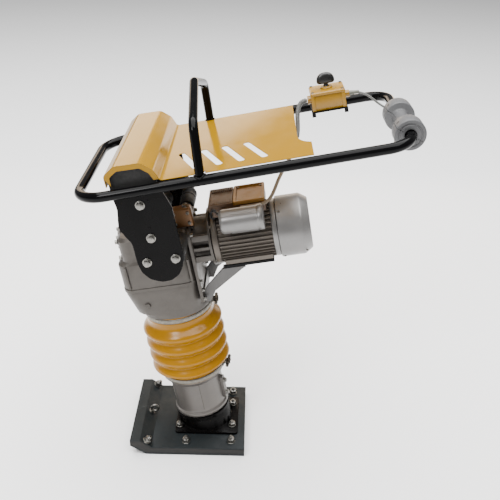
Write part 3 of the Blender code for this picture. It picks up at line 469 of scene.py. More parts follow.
rub = Mat("bellows_rubber", (0.27, 0.122, 0.0), 0.2, 0.0, Specular_IOR_Level=0.26)
rub.tint(rub.ramp(rub.noise(14, 5), 0.35, 0.75, 0.0, 0.25), (0.21, 0.078, 0.0))
rub.tint(rub.ramp(rub.noise(70, 6, 0.7, seed=3), 0.60, 0.78, 0.0, 0.16), (0.25, 0.11, 0.02))
rub.roughness(rub.noise(40, 3, seed=8), 0.3, 0.75, 0.17, 0.24)
rub.bump(rub.noise(300, 2), 0.02, 0.0005)
RUBBER = rub.done()

pl = Mat("worn_plate_steel", (0.0075, 0.0098, 0.0108), 0.44, 0.2, Specular_IOR_Level=0.2)
pl.tint(pl.ramp(pl.noise(7, 6, 0.65), 0.35, 0.68, 0.0, 0.6), (0.014, 0.018, 0.019))
pl.tint(pl.ramp(pl.noise(30, 7, 0.75, seed=2), 0.55, 0.74, 0.0, 0.45), (0.005, 0.005, 0.005))
pl.tint(pl.ramp(pl.noise(55, 7, 0.8, stretch=(0.25, 1, 1), seed=5), 0.63, 0.70, 0.0, 0.4), (0.11, 0.115, 0.115))
pl.tint(pl.ramp(pl.noise(120, 5, 0.8, seed=11), 0.68, 0.76, 0.0, 0.5), (0.06, 0.03, 0.015))
pl.roughness(pl.noise(35, 6, 0.7, seed=7), 0.3, 0.75, 0.30, 0.62)
pl.bump(pl.noise(160, 5, 0.7), 0.14, 0.0012)
PLATE = pl.done()

co = Mat("laminated_edge", (0.0028, 0.0025, 0.0022), 0.72)
co.tint(co.ramp(co.noise(26, 6, 0.7, stretch=(0.4, 0.4, 9)), 0.40, 0.66, 0.0, 0.7), (0.010, 0.0085, 0.0065))
co.bump(co.noise(60, 5, 0.7, stretch=(0.4, 0.4, 9)), 0.35, 0.001)
CORE = co.done()

ca = Mat("cable_sheath", (0.085, 0.085, 0.080), 0.42)
ca.tint(ca.ramp(ca.noise(120, 4), 0.4, 0.7, 0.0, 0.4), (0.035, 0.035, 0.032))
ca.bump(ca.noise(1100, 2), 0.15, 0.0003)
CABLE = ca.done()
cb = Mat("braided_sheath", (0.165, 0.12, 0.075), 0.42)
cb.tint(cb.ramp(cb.noise(160, 4), 0.4, 0.7, 0.0, 0.5), (0.07, 0.05, 0.03))
cb.bump(cb.noise(1200, 2), 0.2, 0.0004)
CONDUIT = cb.done()

# ------------------------------------------------------------------ cords


def smooth_line(route, spacing):
    """Points in the row frame along a clamped cubic B-spline on the route's points, at an even spacing."""
    ctrl = [Vector(p) * MM for p in route]
    ctrl = [ctrl[0] * 2 - ctrl[1]] + ctrl + [ctrl[-1] * 2 - ctrl[-2]]
    fine = []
    for i in range(len(ctrl) - 3):
        p0, p1, p2, p3 = ctrl[i : i + 4]
        for k in range(40):
            t = k / 40
            fine.append((p0 * (1 - t) ** 3 + p1 * (3 * t ** 3 - 6 * t * t + 4) + p2 * (1 + 3 * t + 3 * t * t - 3 * t ** 3) + p3 * t ** 3) / 6)
    fine.append(ctrl[-2].copy())
    at = [0.0]
    for p, q in zip(fine[:-1], fine[1:]):
        at.append(at[-1] + (q - p).length)
    steps = max(2, round(at[-1] / spacing))
    out, j = [], 0
    for k in range(steps + 1):
        want = at[-1] * k / steps
        while j < len(at) - 2 and at[j + 1] < want:
            j += 1
        out.append(M_H @ fine[j].lerp(fine[j + 1], (want - at[j]) / (at[j + 1] - at[j])))
    return out


def cord_object(name, pts, r, mat, cad):
    cu = bpy.data.curves.new(name, "CURVE")
    cu.dimensions = "3D"
    cu.bevel_depth = r
    cu.bevel_resolution = 5
    cu.use_fill_caps = True
    sp = cu.splines.new("POLY")
    sp.points.add(len(pts) - 1)
    for q, p in zip(sp.points, pts):
        q.co = (*p, 1.0)
    cu.materials.append(mat)
    ob = bpy.data.objects.new(name, cu)
    SCENE.collection.objects.link(ob)
    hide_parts(*cad)
    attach(ob, "upper_unit")
    return ob


MOTOR_LEAD = (
    (433.0, 158.5, 33), (422, 158.5, 33), (412, 157.5, 28), (401, 148, 6), (399, 128, -24), (392, 98, -46), (376, 52, -64), (352, 4, -80),
    (330, -26, -98), (316, -42, -120.1), (303.7, -54, -134.9), (289.6, -62, -143.2), (272, -62.2, -144.9), (256, -62.2, -145.0), (237.6, -62.2, -144.8), (224, -62.2, -144.5),
)
pts = smooth_line(MOTOR_LEAD, 0.006)
motor_lead = cord_object("motor_lead_sheath", pts, 4.5 * MM, CONDUIT, ["motor_lead"])
ribbed, rr = [], []
total = 0.0
fine_pts = smooth_line(MOTOR_LEAD, 0.001)
for i, p in enumerate(fine_pts[2:118]):
    ribbed.append(p / MM)
    rr.append((6.4 - 1.2 * i / 116) + 0.5 * math.cos(2 * math.pi * i / 4.0))
rr[0] = rr[-1] = 4.7
sleeve = piece("motor_lead_conduit", swept(ribbed, rr, 20), CABLE, "upper_unit", angle=60)

SUPPLY_LEAD = [
    (545.4, 158.5, 33), (556, 158.5, 33), (574, 157.5, 31), (594, 154, 20), (612, 147, 0), (631, 138, -17), (647, 128, -21.5), (657, 116, -18.5), (659.8, 104.5, -17.2),
]
HANK_Y, TOPC, LOWC, RUN_R = 88.0, -35.0, -91.0, 18.1
total_u, u_start = 14.4, 659.8
seq = []


def fold(centre, a0, a1, steps):
    for k in range(1, steps + 1):
        a = math.radians(a0 + (a1 - a0) * k / steps)
        seq.append((HANK_Y + RUN_R * math.cos(a), centre + RUN_R * math.sin(a)))


def run(side, h0, h1, steps=9):
    for k in range(1, steps):
        seq.append((HANK_Y + side * RUN_R, h0 + (h1 - h0) * k / steps))


fold(TOPC, 90, 180, 7)
for lap in range(2):
    run(-1, TOPC, LOWC)
    fold(LOWC, 180, 360, 14)
    run(1, LOWC, TOPC)
    fold(TOPC, 0, 180, 14)
run(-1, TOPC, LOWC)
fold(LOWC, 180, 270, 7)
n_all = len(seq)
tail = [(94, -109.1), (99, -109.1), (104.5, -109.1)] + [(110 + 24 * math.sin(math.radians(k)), -85.1 - 24 * math.cos(math.radians(k))) for k in range(0, 88, 9)] + [(134, -86.0)]
line = smooth_line(SUPPLY_LEAD, 0.004)
for i, (y, h) in enumerate(seq):
    line.append(M_H @ (Vector((u_start - total_u * (i + 1) / n_all, y, h)) * MM))
for k, (y, h) in enumerate(tail):
    line.append(M_H @ (Vector((645.4 + 3.6 * (k + 1) / len(tail), y, h)) * MM))


def even(pts, spacing, rounds=2):
    """The same line with corners softened and points evenly spaced."""
    for _ in range(rounds):
        pts = [pts[0]] + [(a + b * 2 + c) / 4 for a, b, c in zip(pts[:-2], pts[1:-1], pts[2:])] + [pts[-1]]
    at = [0.0]
    for p, q in zip(pts[:-1], pts[1:]):
        at.append(at[-1] + (q - p).length)
    steps = round(at[-1] / spacing)
    out, j = [], 0
    for k in range(steps + 1):
        want = at[-1] * k / steps
        while j < len(at) - 2 and at[j + 1] < want:
            j += 1
        out.append(pts[j].lerp(pts[j + 1], (want - at[j]) / max(1e-9, at[j + 1] - at[j])))
    return out


line = even(line, 0.004, 1)
supply = cord_object("supply_lead_sheath", line, 2.9 * MM, CABLE, ["supply_lead", "lead_hank"])

PU, PY, PL = 649.0, 134.0, -85.5
plug = turned([(0, 0), (3.6, 0), (4.2, 0.6), (4.4, 3), (4.0, 4), (4.6, 6), (4.2, 7), (4.8, 9), (4.4, 10), (5.1, 12), (4.8, 13), (5.6, 15), (9, 18), (12, 20), (15, 25), (16, 29),
               (15.4, 31), (15.4, 33), (16, 35), (16, 41), (15, 43), (0, 43)], n=40)
pins = [shifted(box(-1, 1, -3, 3, 42, 56), dx, dy, 0) for dx, dy in ((-6, -4), (6, -4), (0, 6))]
plug_piece = piece("supply_plug_body", shifted(plug, PU, PY, PL), BLACKPLASTIC, "upper_unit", M_H, 0.0, replaces=["supply_plug"])
pin_piece = piece("supply_plug_pins", shifted(heap(*pins), PU, PY, PL), STEEL, "upper_unit", M_H, 0.4)
tie = swept([(652 + (11.6 if 0 <= math.degrees(a) % 360 < 180 else 11.6) * math.cos(a), 88 + 22.0 * math.sin(a), -62) for a in [2 * math.pi * k / 32 for k in range(32)]], 1.0, 8, closed=True)
piece("hank_tie", tie, BLACKPLASTIC, "upper_unit", M_H)


# ------------------------------------------------------------------ foot
def cad(name, mat, bevel=0.0, segments=2, angle=34):
    ob = N[name]
    ob.data.materials.clear()
    ob.data.materials.append(mat)
    ob.data.shade_smooth()
    w = ob.modifiers.new("weld", "WELD")
    w.merge_threshold = 1e-6
    if bevel:
        b = ob.modifiers.new("edges", "BEVEL")
        b.width = bevel * MM
        b.segments = segments
        b.limit_method = "ANGLE"
        b.angle_limit = math.radians(angle)
        b.harden_normals = False
    return ob


def smooth_cad(name, mat, bevel=0.0, segments=2, angle=34):
    ob = cad(name, mat, bevel, segments, angle)
    ng = SMOOTH
    m = ob.modifiers.new("smooth_by_angle", "NODES")
    m.node_group = ng
    return ob


def smooth_group():
    """Geometry nodes: smooth shading with edges over an angle kept sharp."""
    g = bpy.data.node_groups.new("smooth_edges", "GeometryNodeTree")
    g.interface.new_socket("Geometry", in_out="INPUT", socket_type="NodeSocketGeometry")
    g.interface.new_socket("Geometry", in_out="OUTPUT", socket_type="NodeSocketGeometry")
    i, o = g.nodes.new("NodeGroupInput"), g.nodes.new("NodeGroupOutput")
    ang = g.nodes.new("GeometryNodeInputMeshEdgeAngle")
    cmp = g.nodes.new("FunctionNodeCompare")
    cmp.data_type = "FLOAT"
    cmp.operation = "LESS_EQUAL"
    cmp.inputs["B"].default_value = math.radians(34)
    face = g.nodes.new("GeometryNodeSetShadeSmooth")
    edge = g.nodes.new("GeometryNodeSetShadeSmooth")
    edge.domain = "EDGE"
    g.links.new(ang.outputs["Unsigned Angle"], cmp.inputs["A"])
    g.links.new(i.outputs[0], face.inputs["Geometry"])
    g.links.new(face.outputs["Geometry"], edge.inputs["Geometry"])
    g.links.new(cmp.outputs["Result"], edge.inputs["Shade Smooth"])
    g.links.new(edge.outputs["Geometry"], o.inputs[0])
    return g


SMOOTH = smooth_group()
smooth_cad("foot_sole", PLATE, 0.8)
smooth_cad("foot_core", CORE, 0.0)
smooth_cad("foot_top_plate", PLATE, 0.8)
smooth_cad("base_flange", PLATE_BLACK, 1.0)

RAMP = math.atan2(23.5, 31.7)
TOP = 26.7


def over(x):
    if x >= -126.4:
        return TOP
    return TOP + 23.5 * (-126.4 - x) / 31.7


def stud_mesh(r, af, h, top):
    return heap(washer(r, 4.5, 0.3, 2.4), nut(af, h, 2.4), thread(5.4, h, top))


n = 0
for x, y in ((-141.0, -129.0), (-141.0, 129.0), (-28.0, -116.0), (-28.0, 116.0), (103.0, -112.0), (103.0, 112.0)):
    n += 1
    front = x < -100
    lift = Vector((math.sin(RAMP), 0, math.cos(RAMP))) if front else Vector((0, 0, 1))
    piece(f"stud_{n}", stud_mesh(12.0, 18.5, 10.5, 21.0), ZINC, "foot", toward(lift, (x, y, over(x)), 0.4 * n), replaces=[f"foot_stud_{n}"])

ring_at = toward((math.sin(RAMP), 0, math.cos(RAMP)), (-142.0, 0, over(-142.0)))
eye = swept([(10.5 * math.cos(2 * math.pi * k / 40), 0, 17.0 + 10.5 * math.sin(2 * math.pi * k / 40)) for k in range(40)], 3.2, 14, closed=True)
piece("lashing_eye", heap(eye, rod("Z", 4.5, 2, 8, n=20), washer(10, 3, 0.3, 2.4), nut(13, 4, 2.3)), ZINC, "foot", ring_at, replaces=["lashing_ring"])

# base flange details: weld bead round the collar, corner nuts, gusset ribs
bead = []
for k in range(96):
    a = 2 * math.pi * k / 96
    bead.append((21.5 + 78.2 * math.cos(a) * 1.012, 77.9 * math.sin(a), 34.6))
piece("collar_weld", swept(bead, [1.9 + 0.35 * math.sin(k * 2.1) for k in range(96)], 8, closed=True), PLATE_BLACK, "foot")
k = 0
for x, y in ((-52, -54), (-52, 54), (104, -49), (104, 49)):
    k += 1
    piece(f"flange_nut_{k}", heap(washer(11, 4.5, 0.2, 2.2), nut(17.5, 9.0, 2.0), thread(5, 9, 17)), ZINC, "foot", toward((0, 0, 1), (x, y, 34.0), 0.5 * k))
gus = []
for x, y in ((-52, -54), (-52, 54), (104, -49), (104, 49)):
    g_ = prism([(66, 34.2), (92, 34.2), (89, 37), (70, 62), (66, 62)], "Y", -2.5, 2.5)
    gus.append(shifted(moved(g_, Matrix.Rotation(math.atan2(y * 0.72, x - 21.5), 4, "Z")), 21.5, 0, 0))
piece("collar_gussets", heap(*gus), PLATE_BLACK, "foot", M_W, 0.8, 2)
collar_lip = turned([(77.6, -30), (79.6, -28.5), (79.6, -19.5), (78.2, -17.6), (77.0, -17.6), (77.0, -30)], n=96)
piece("collar_lip", collar_lip, PLATE_BLACK, "foot", M_LEG)

# lower cylinder: smooth turned shell with casting seam and lug
cyl = turned([(64, -16.9), (74.6, -16.9), (75.4, -16), (79, -12), (79.3, -8), (79.0, -3.5), (77.6, -1.2), (75.4, 0.8), (74.6, 3.5), (74.5, 10), (74.5, 96), (75.6, 99.5),
              (86.6, 111), (88, 114), (88, 138.6), (64, 138.6)], n=96)
piece("cylinder_shell", cyl, BRIGHT, "foot", M_LEG, replaces=["lower_cylinder"], angle=50)
seam = Matrix.Rotation(math.radians(-78), 4, "Z")
piece("cylinder_seam", moved(prism([(74.2, 8), (74.2, 98), (75.3, 97), (75.3, 9)], "Y", -0.9, 0.9), seam), CAST, "foot", M_LEG, 0.3)
LUG = Matrix.Rotation(math.radians(-14), 4, "Z")
lug = prism(rounded(-9, 9, 4, 84, 8.9, 10), "X", 72, 83.7)
piece("cylinder_lug", moved(lug, LUG), BRIGHT, "foot", M_LEG, 1.5, 3)
oil = heap(moved(rod("X", 8, 83.7, 87.5, 0, 66, 32), LUG), moved(prism(hexagon(11, 0, 66), "X", 87, 91.5), LUG), moved(rod("X", 6.5, 83, 88.5, 0, 22, 28), LUG), moved(prism(hexagon(9, 0, 22), "X", 88, 91), LUG))
piece("oil_plugs", oil, ZINC, "foot", M_LEG, 0.4, replaces=["sight_plug"])


# ------------------------------------------------------------------ clamps
def clamp_piece(name, r, low, high, ear_deg, body, node):
    mid = (low + high) / 2
    band = turned([(r - 0.2, low + 0.2), (r + 0.8, low), (r + 2.0, low + 0.8), (r + 2.2, mid), (r + 2.0, high - 0.8), (r + 0.8, high), (r - 0.2, high - 0.2)], n=96)
    piece(name + "_band", band, BAND, body, M_LEG, replaces=[node], angle=60)
    turn = Matrix.Rotation(math.radians(ear_deg), 4, "Z")
    parts = []
    for s in (-1, 1):
        parts.append(box(r + 0.8, r + 21.4, min(s * 4.6, s * 7.6), max(s * 4.6, s * 7.6), mid - 5.4, mid + 5.4))
        parts.append(moved(prism([(r + 1.8, s * 6), (r + 3.4, s * 6), (r + 2.4, s * 19), (r + 1.6, s * 19)][::s], "Z", mid - 5.2, mid + 5.2), M_W))
        parts.append(moved(nut(9.5, 5.0), Matrix.Translation(((r + 15) * MM, s * 7.8 * MM, mid * MM)) @ Matrix.Rotation(-s * math.pi / 2, 4, "X")))
    parts.append(rod("Y", 3.0, -27, 27, r + 15, mid, 16))
    parts.append(rod("Y", 5.2, -4.4, 4.4, r + 15, mid, 20))
    for s in (-1, 1):
        parts.append(rod("Y", 4.8, min(s * 13.5, s * 19), max(s * 13.5, s * 19), r + 15, mid, 20))
        parts.append(moved(nut(8.5, 4.5), Matrix.Translation(((r + 15) * MM, s * 21 * MM, mid * MM)) @ Matrix.Rotation(-s * math.pi / 2, 4, "X")))
    piece(name + "_screw", moved(heap(*parts), turn), DARKSTEEL, body, M_LEG, 0.4)


clamp_piece("lower_clamp", 90.3, 119, 133, -6, "foot", "lower_clamp")
clamp_piece("upper_clamp", 91.6, 324, 338, 2, "upper_unit", "upper_clamp")

# ------------------------------------------------------------------ bellows
prof_out = []
key = [(90.0, 117.5), (90.4, 120), (90.2, 134), (91.0, 139.0)]
for p in key:
    prof_out.append(p)
peaks = (157.0, 197.0, 238.0, 280.0)
lows = (139.0, 177.5, 218.0, 259.5, 303.0)
low_r = (92.0, 100.6, 100.6, 100.6, 94.0)
for i, s in enumerate(peaks):
    for side in (0, 1):
        a, b = (lows[i], s) if side == 0 else (s, lows[i + 1])
        ra, rb = (low_r[i], 112.6) if side == 0 else (112.6, low_r[i + 1])
        for k in range(1, 13):
            t = k / 12
            if side == 0:
                w = (0.5 - 0.5 * math.cos(math.pi * t)) * 0.6 + (1 - (1 - t) ** 2) * 0.4
            else:
                w = 1 - ((0.5 - 0.5 * math.cos(math.pi * (1 - t))) * 0.6 + (1 - t ** 2) * 0.4) if False else (0.5 - 0.5 * math.cos(math.pi * t)) * 0.6 + t ** 2 * 0.4
            prof_out.append((ra + (rb - ra) * w, a + (b - a) * t))
prof_out += [(92.6, 306.5), (91.9, 312), (92.2, 318), (93.0, 321.5), (91.5, 323.3), (91.3, 338), (92.4, 339.5), (92.4, 341.2), (91.0, 341.6)]
prof_in = [(89.3, 341.6), (89.3, 306)] + [(r - 2.6, s) for r, s in reversed(prof_out[4:-9:3])] + [(88.3, 139), (88.3, 117.5)]
bel = turned(prof_out + prof_in, n=112)
bel_ob = piece("bellows_skin", bel, RUBBER, None, M_LEG, replaces=["bellows"], angle=70)
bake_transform(bel_ob)

# ------------------------------------------------------------------ crankcase
for nme in ("crankcase_lower", "crankcase_upper"):
    smooth_cad(nme, CAST, 2.2, 3)
smooth_cad("gear_case_cover", CAST, 1.2, 2)
smooth_cad("gear_case_cap", WARM, 2.0, 3)
smooth_cad("front_cover", BRIGHT, 0.8, 2)
smooth_cad("motor_bracket", GUSSET, 0.8, 2)
# machined joint flange round the parting line, with socket screws
joint = cut(prism(rounded(-118.6, 81.5, -93.6, 93.6, 31, 12), "Z", 435.5, 444.5), prism(rounded(-112, 76, -88, 88, 26, 12), "Z", 430, 450))
joint = cut(joint, box(70, 100, -80, 80, 430, 450))
piece("joint_flange", joint, CAST, "upper_unit", M_LEG, 0.8, 2)
side_ribs = []
for s in (-1, 1):
    for x in (-96, 70):
        side_ribs.append(box(x - 3, x + 3, min(s * 90, s * 95), max(s * 90, s * 95), 448, 514))
piece("case_side_ribs", heap(*side_ribs), CAST, "upper_unit", M_LEG, 1.4, 3)
flange_bolts = []
for k in range(6):
    a = math.radians(60 * k + 30)
    flange_bolts.append(moved(heap(washer(6, 2, 0, 1.0, 24), nut(9.0, 4.6, 1.0)), toward((-1, 0, 0), (-110.0, 27.5 * math.cos(a), 558 + 27.5 * math.sin(a)))))
piece("front_cover_bolts", heap(*flange_bolts), ZINC, "upper_unit", M_LEG)
lugs = []
for y in (-74, 74):
    for z in (534, 580):
        lugs.append(moved(heap(washer(7.5, 2, 0, 1.4, 24), nut(11, 6, 1.2)), toward((-1, 0, 0), (-103.8, y * 0.82, z - 4))))
piece("front_case_bolts", heap(*lugs), ZINC, "upper_unit", M_LEG)
boss = []
for y in (-93,):
    boss.append(moved(turned([(0, 0), (8.5, 0), (7.5, 4), (4, 4.6), (0, 4.6)], n=28), toward((0, -1, 0), (-62, -91.6, 392))))
piece("case_bosses", heap(*boss), CAST, "upper_unit", M_LEG)
cap = []
cap.append(moved(nut(13, 7, 0), toward((0, 0, 1), (86, -46, 641))))
cap.append(moved(washer(9, 3, 0, 1.6), toward((0, 0, 1), (86, -46, 640.4))))
for y in (-60.4,):
    for x, z in ((55, 600), (91, 600), (55, 628), (91, 628)):
        cap.append(moved(screw_head(4.2, 4, 0), toward((0, -1, 0), (x, y, z))))
piece("cap_bolts", heap(*cap), ZINC, "upper_unit", M_LEG)
rear_bolts = []
for y in (-78, 78):
    for z in (384, 410, 436, 574):
        rear_bolts.append(moved(heap(washer(6.8, 2, 0, 1.2, 24), screw_head(5.2, 6.0, 1.0)), toward((1, 0, 0), (88.0, y, z))))
for y in (-40, 0, 40):
    rear_bolts.append(moved(heap(washer(6.8, 2, 0, 1.2, 24), screw_head(5.2, 6.0, 1.0)), toward((1, 0, 0), (88.0, y, 578))))
piece("rear_case_bolts", heap(*rear_bolts), ZINC, "upper_unit", M_LEG)

# ------------------------------------------------------------------ motor
AX = 526.0
COUNT = 40
fins = []
for k in range(COUNT):
    a = 2 * math.pi * k / COUNT
    for rr, w in ((69.2, -0.5), (69.2, -0.24), (70.0, -0.17), (75.4, -0.105), (76.0, -0.05), (76.0, 0.05), (75.4, 0.105), (70.0, 0.17), (69.2, 0.24)):
        t = a + w * 2 * math.pi / COUNT
        fins.append((rr * math.cos(t), AX + rr * math.sin(t)))
body = prism(fins, "X", 156.3, 295.7)
feet = [box(160, 290, y0, y1, 460.2, 468.5) for y0, y1 in ((-70, -44), (44, 70))]
pads = [box(162, 288, y0, y1, 468.5, 481) for y0, y1 in ((-68, -44), (44, 68))]
body = cut(body, rod("X", 62, 150, 300, 0, AX, 48))
piece("finned_housing", body, FINMETAL, "upper_unit", M_LEG, replaces=["stator_housing"], angle=30)
piece("motor_foot_pads", heap(*pads), FINMETAL, "upper_unit", M_LEG, 1.2, 2)
piece("motor_feet", heap(*feet), BLACK, "upper_unit", M_LEG, 1.5, 2)
foot_bolts = []
for x in (172, 200):
    for y in (-58, 58):
        foot_bolts.append(moved(heap(washer(7.5, 2, 0, 1.2, 24), nut(12, 6, 1.0)), toward((0, 0, -1), (x, y, 455.6))))
piece("motor_foot_bolts", heap(*foot_bolts), ZINC, "upper_unit", M_LEG)
fb = turned([(14, 137), (58, 137), (60, 138.5), (73, 138.5), (75.4, 140), (76, 142), (76, 152), (75, 154), (72, 156), (62, 156), (62, 145), (24, 145), (24, 157), (20, 157), (20, 143), (14, 143)], "X", 0, AX, 72)
piece("front_bell_shell", fb, FINMETAL, "upper_unit", M_LEG, replaces=["front_end_bell"], angle=40)
rb = turned([(14, 310.6), (74, 310.6), (76, 309), (76, 299), (75, 297), (72, 296), (62, 296), (62, 303), (24, 303), (24, 292), (20, 292), (20, 305), (14, 305)], "X", 0, AX, 72)
piece("rear_bell_shell", rb, SILVER, "upper_unit", M_LEG, replaces=["rear_end_bell"], angle=40)
tie_bolts = []
for k in range(4):
    a = math.radians(45 + 90 * k)
    y, z = 67 * math.cos(a), AX + 67 * math.sin(a)
    tie_bolts.append(moved(nut(9, 5, 0), toward((-1, 0, 0), (138.4, y, z))))
piece("motor_tie_bolts", heap(*tie_bolts), ZINC, "upper_unit", M_LEG)
cowl = turned([(79.2, 311), (80.4, 311), (81, 311.8), (81, 371), (80.6, 373.5), (79.2, 376), (69.0, 391.5), (67, 394), (64, 395), (12, 395), (12, 393.6), (63.5, 393.6), (66, 392.4), (77.6, 375.6), (79.2, 372)], "X", 0, AX, 96)
for ringr, cnt in ((22, 8), (34, 12), (46, 18), (58, 22)):
    slots = []
    for k in range(cnt):
        a = 2 * math.pi * (k + (0.5 if ringr in (34, 58) else 0)) / cnt
        me = prism(rounded(-2.4, 2.4, ringr - 4.6, ringr + 4.6, 2.3, 4), "X", 388, 400)
        me.transform(Matrix.Rotation(a, 4, "X"))
        slots.append(shifted(me, 0, 0, AX))
    cowl = cut(cowl, heap(*slots))
piece("cowl_shell", cowl, SILVER, "upper_unit", M_LEG, replaces=["fan_cowl"], angle=30)
cs = []
for deg in (-52, 232, 128, 52):
    a = math.radians(deg - 90 + 0)
    d = (0, math.cos(math.radians(deg)), math.sin(math.radians(deg)))
    cs.append(moved(heap(screw_head(3.2, 1.8, 0, False)), toward(d, (319, 81 * d[1], AX + 81 * d[2]))))
for deg in (215,):
    d = (0, math.cos(math.radians(deg)), math.sin(math.radians(deg)))
    cs.append(moved(heap(screw_head(3.2, 1.8, 0, False)), toward(d, (378, 81 * d[1], AX + 81 * d[2]))))
piece("cowl_screws", heap(*cs), DARKSTEEL, "upper_unit", M_LEG)

# capacitor
CY, CZ, CR = -93.0, 604.0, 31.0
prof = [(0, 171.2), (16, 171.2), (23, 172.2), (28, 174.6), (30.4, 178.4), (31, 182), (31, 266), (31.2, 268), (32.4, 269.5), (32.5, 279), (31.4, 281.4), (29, 282.6), (0, 282.8)]
can = turned(prof, "X", CY, CZ, 72)
piece("capacitor_can", can, SILVER, "upper_unit", M_LEG, replaces=["capacitor_housing"], angle=40)
saddle = prism([(-78, 560), (-60, 573), (-72, 598), (-98, 580)], "X", 195, 265)
saddle = cut(saddle, rod("X", 76.4, 150, 300, 0, AX, 64), rod("X", 30.8, 150, 300, CY, CZ, 64))
piece("capacitor_saddle", saddle, SILVER, "upper_unit", M_LEG, 0.8, 2)
scr = [moved(screw_head(2.6, 1.6, 0, False), toward((-1, 0, 0), (171.2, CY - 12, CZ - 12)))]
gl = turned([(0, 0), (6.5, 0), (6.5, 3), (5, 4), (5, 7), (3.4, 9), (0, 9)], n=28)
scr.append(moved(gl, toward((-1, 0.2, 0.5), (173.5, CY + 14, CZ + 16))))
piece("capacitor_fittings", heap(*scr), DARKSTEEL, "upper_unit", M_LEG)
wires = []
for off, dz in ((0, 0), (3.8, 4.4)):
    path = smooth = [Vector(p) for p in ((166, CY + 15, CZ + 21 + dz), (157, CY + 18, CZ + 24 + dz), (148 + off, CY + 26, CZ + 16), (147 + off, CY + 34, CZ + 2 + dz), (152, CY + 42, CZ - 8), (159, CY + 45, CZ + 3), (160.4, CY + 46, CZ + 8))]
    fine = []
    ext = [path[0] * 2 - path[1]] + path + [path[-1] * 2 - path[-2]]
    for i in range(len(path) - 1):
        p0, p1, p2, p3 = ext[i : i + 4]
        for k in range(8):
            t = k / 8
            fine.append(0.5 * (2 * p1 + (p2 - p0) * t + (2 * p0 - 5 * p1 + 4 * p2 - p3) * t * t + (3 * p1 - p0 - 3 * p2 + p3) * t ** 3))
    fine.append(path[-1])
    wires.append(swept(fine, 2.0, 12))
piece("capacitor_wires", heap(*wires), BLACKPLASTIC, "upper_unit", M_LEG)

# terminal box and its two-part lid
smooth_cad("terminal_box", TAN, 1.2, 2)
low_lid = cut(prism(rounded(144, 207, -57, 51, 4, 6), "Z", 628.3, 636.0), prism(rounded(148, 204, -53, 47, 3, 6), "Z", 633.4, 640))
piece("terminal_lid_front", low_lid, TAN, "upper_unit", M_LEG, 0.8, 2, replaces=["terminal_lid"])
teeth = [box(x - 1.3, x + 1.3, -52, -34, 633.2, 637.2) for x in range(152, 204, 5)]
teeth += [box(x - 1.3, x + 1.3, 28, 46, 633.2, 637.2) for x in range(152, 204, 5)]
piece("terminal_ribs", heap(*teeth), TAN, "upper_unit", M_LEG, 0.4)
hi = loft([[(x * MM, y * MM, z * MM) for x, y in rounded(208, 290, -57, 51, 5, 6)] for z in (628.3, 635.5)]
          + [[(x * MM, y * MM, 637.6 * MM) for x, y in rounded(209.2, 288.8, -55.8, 49.8, 4.4, 6)]])
hi = cut(hi, prism(rounded(216, 283, -50, 44, 4, 6), "Z", 634.0, 640))
# The rear lid is silver metal; its yellow base colour is painted reflection of the yellow cover above it.
LID_PAINTED_REFLECTION = cast_metal("lid_painted_yellow_reflection", (0.24, 0.115, 0.012), 0.1, 0.4, 0.08)
piece("terminal_lid_rear", hi, LID_PAINTED_REFLECTION, "upper_unit", M_LEG, 0.7, 2)
ls = []
for x, y in ((220, -46), (279, -46), (220, 40), (279, 40)):
    ls.append(moved(screw_head(3.4, 2.2, 0, False), toward((0, 0, 1), (x, y, 634.0))))
piece("terminal_fittings", heap(*ls), ZINC, "upper_unit", M_LEG)
side = []
for y in (-57.2,):
    for x in range(152, 206, 6):
        side.append(box(x - 1.6, x + 1.6, y - 1.0, y + 0.6, 606, 626))
piece("terminal_box_ribs", heap(*side), TAN, "upper_unit", M_LEG, 0.5)

# ------------------------------------------------------------------ buffers
BUF = ((-5.8, 576.4), (64.2, 576.7))
n = 0
for s in (-1, 1):
    for x, z in BUF:
        n += 1
        prof = [(0, 153), (20.6, 153), (21.6, 154), (22, 158), (21, 161), (18.8, 165), (18.1, 170), (18.0, 175), (18.1, 180), (18.8, 184), (21, 188), (22, 191), (21.6, 194.6), (20.6, 195.6), (0, 195.6)]
        piece(f"buffer_{n}", turned([(r, s * t) for r, t in prof], "Y", x, z, 48), BUFFER, "upper_unit", M_LEG, replaces=[f"rubber_buffer_{n}"])
        piece(f"boss_sleeve_{n}", turned([(r, s * t) for r, t in ((15.7, 96), (20, 96), (21, 98), (21, 149), (20, 152.4), (15.7, 152.4))], "Y", x, z, 40), BUFFER, "upper_unit", M_LEG)

# ------------------------------------------------------------------ side plates
outline = [(-47, -11.3), (-44, -40), (-54, -86), (-43, -112), (-32, -131), (-33, -187), (-28, -212), (-12, -234), (15, -246), (39, -245),
           (61, -232), (75, -209), (82, -168), (81, -105), (83, -57), (74, -27), (69, -11.3)]


def chaikin(pts, rounds, keep=()):
    for _ in range(rounds):
        out = []
        m = len(pts)
        for i in range(m):
            p, q = pts[i], pts[(i + 1) % m]
            if p[1] > -20 and q[1] > -20:
                out += [p, q]
                continue
            w = 0.13 if _ == 0 else 0.25
            out += [(p[0] * (1 - w) + q[0] * w, p[1] * (1 - w) + q[1] * w), (p[0] * w + q[0] * (1 - w), p[1] * w + q[1] * (1 - w))]
        pts = out
    return pts


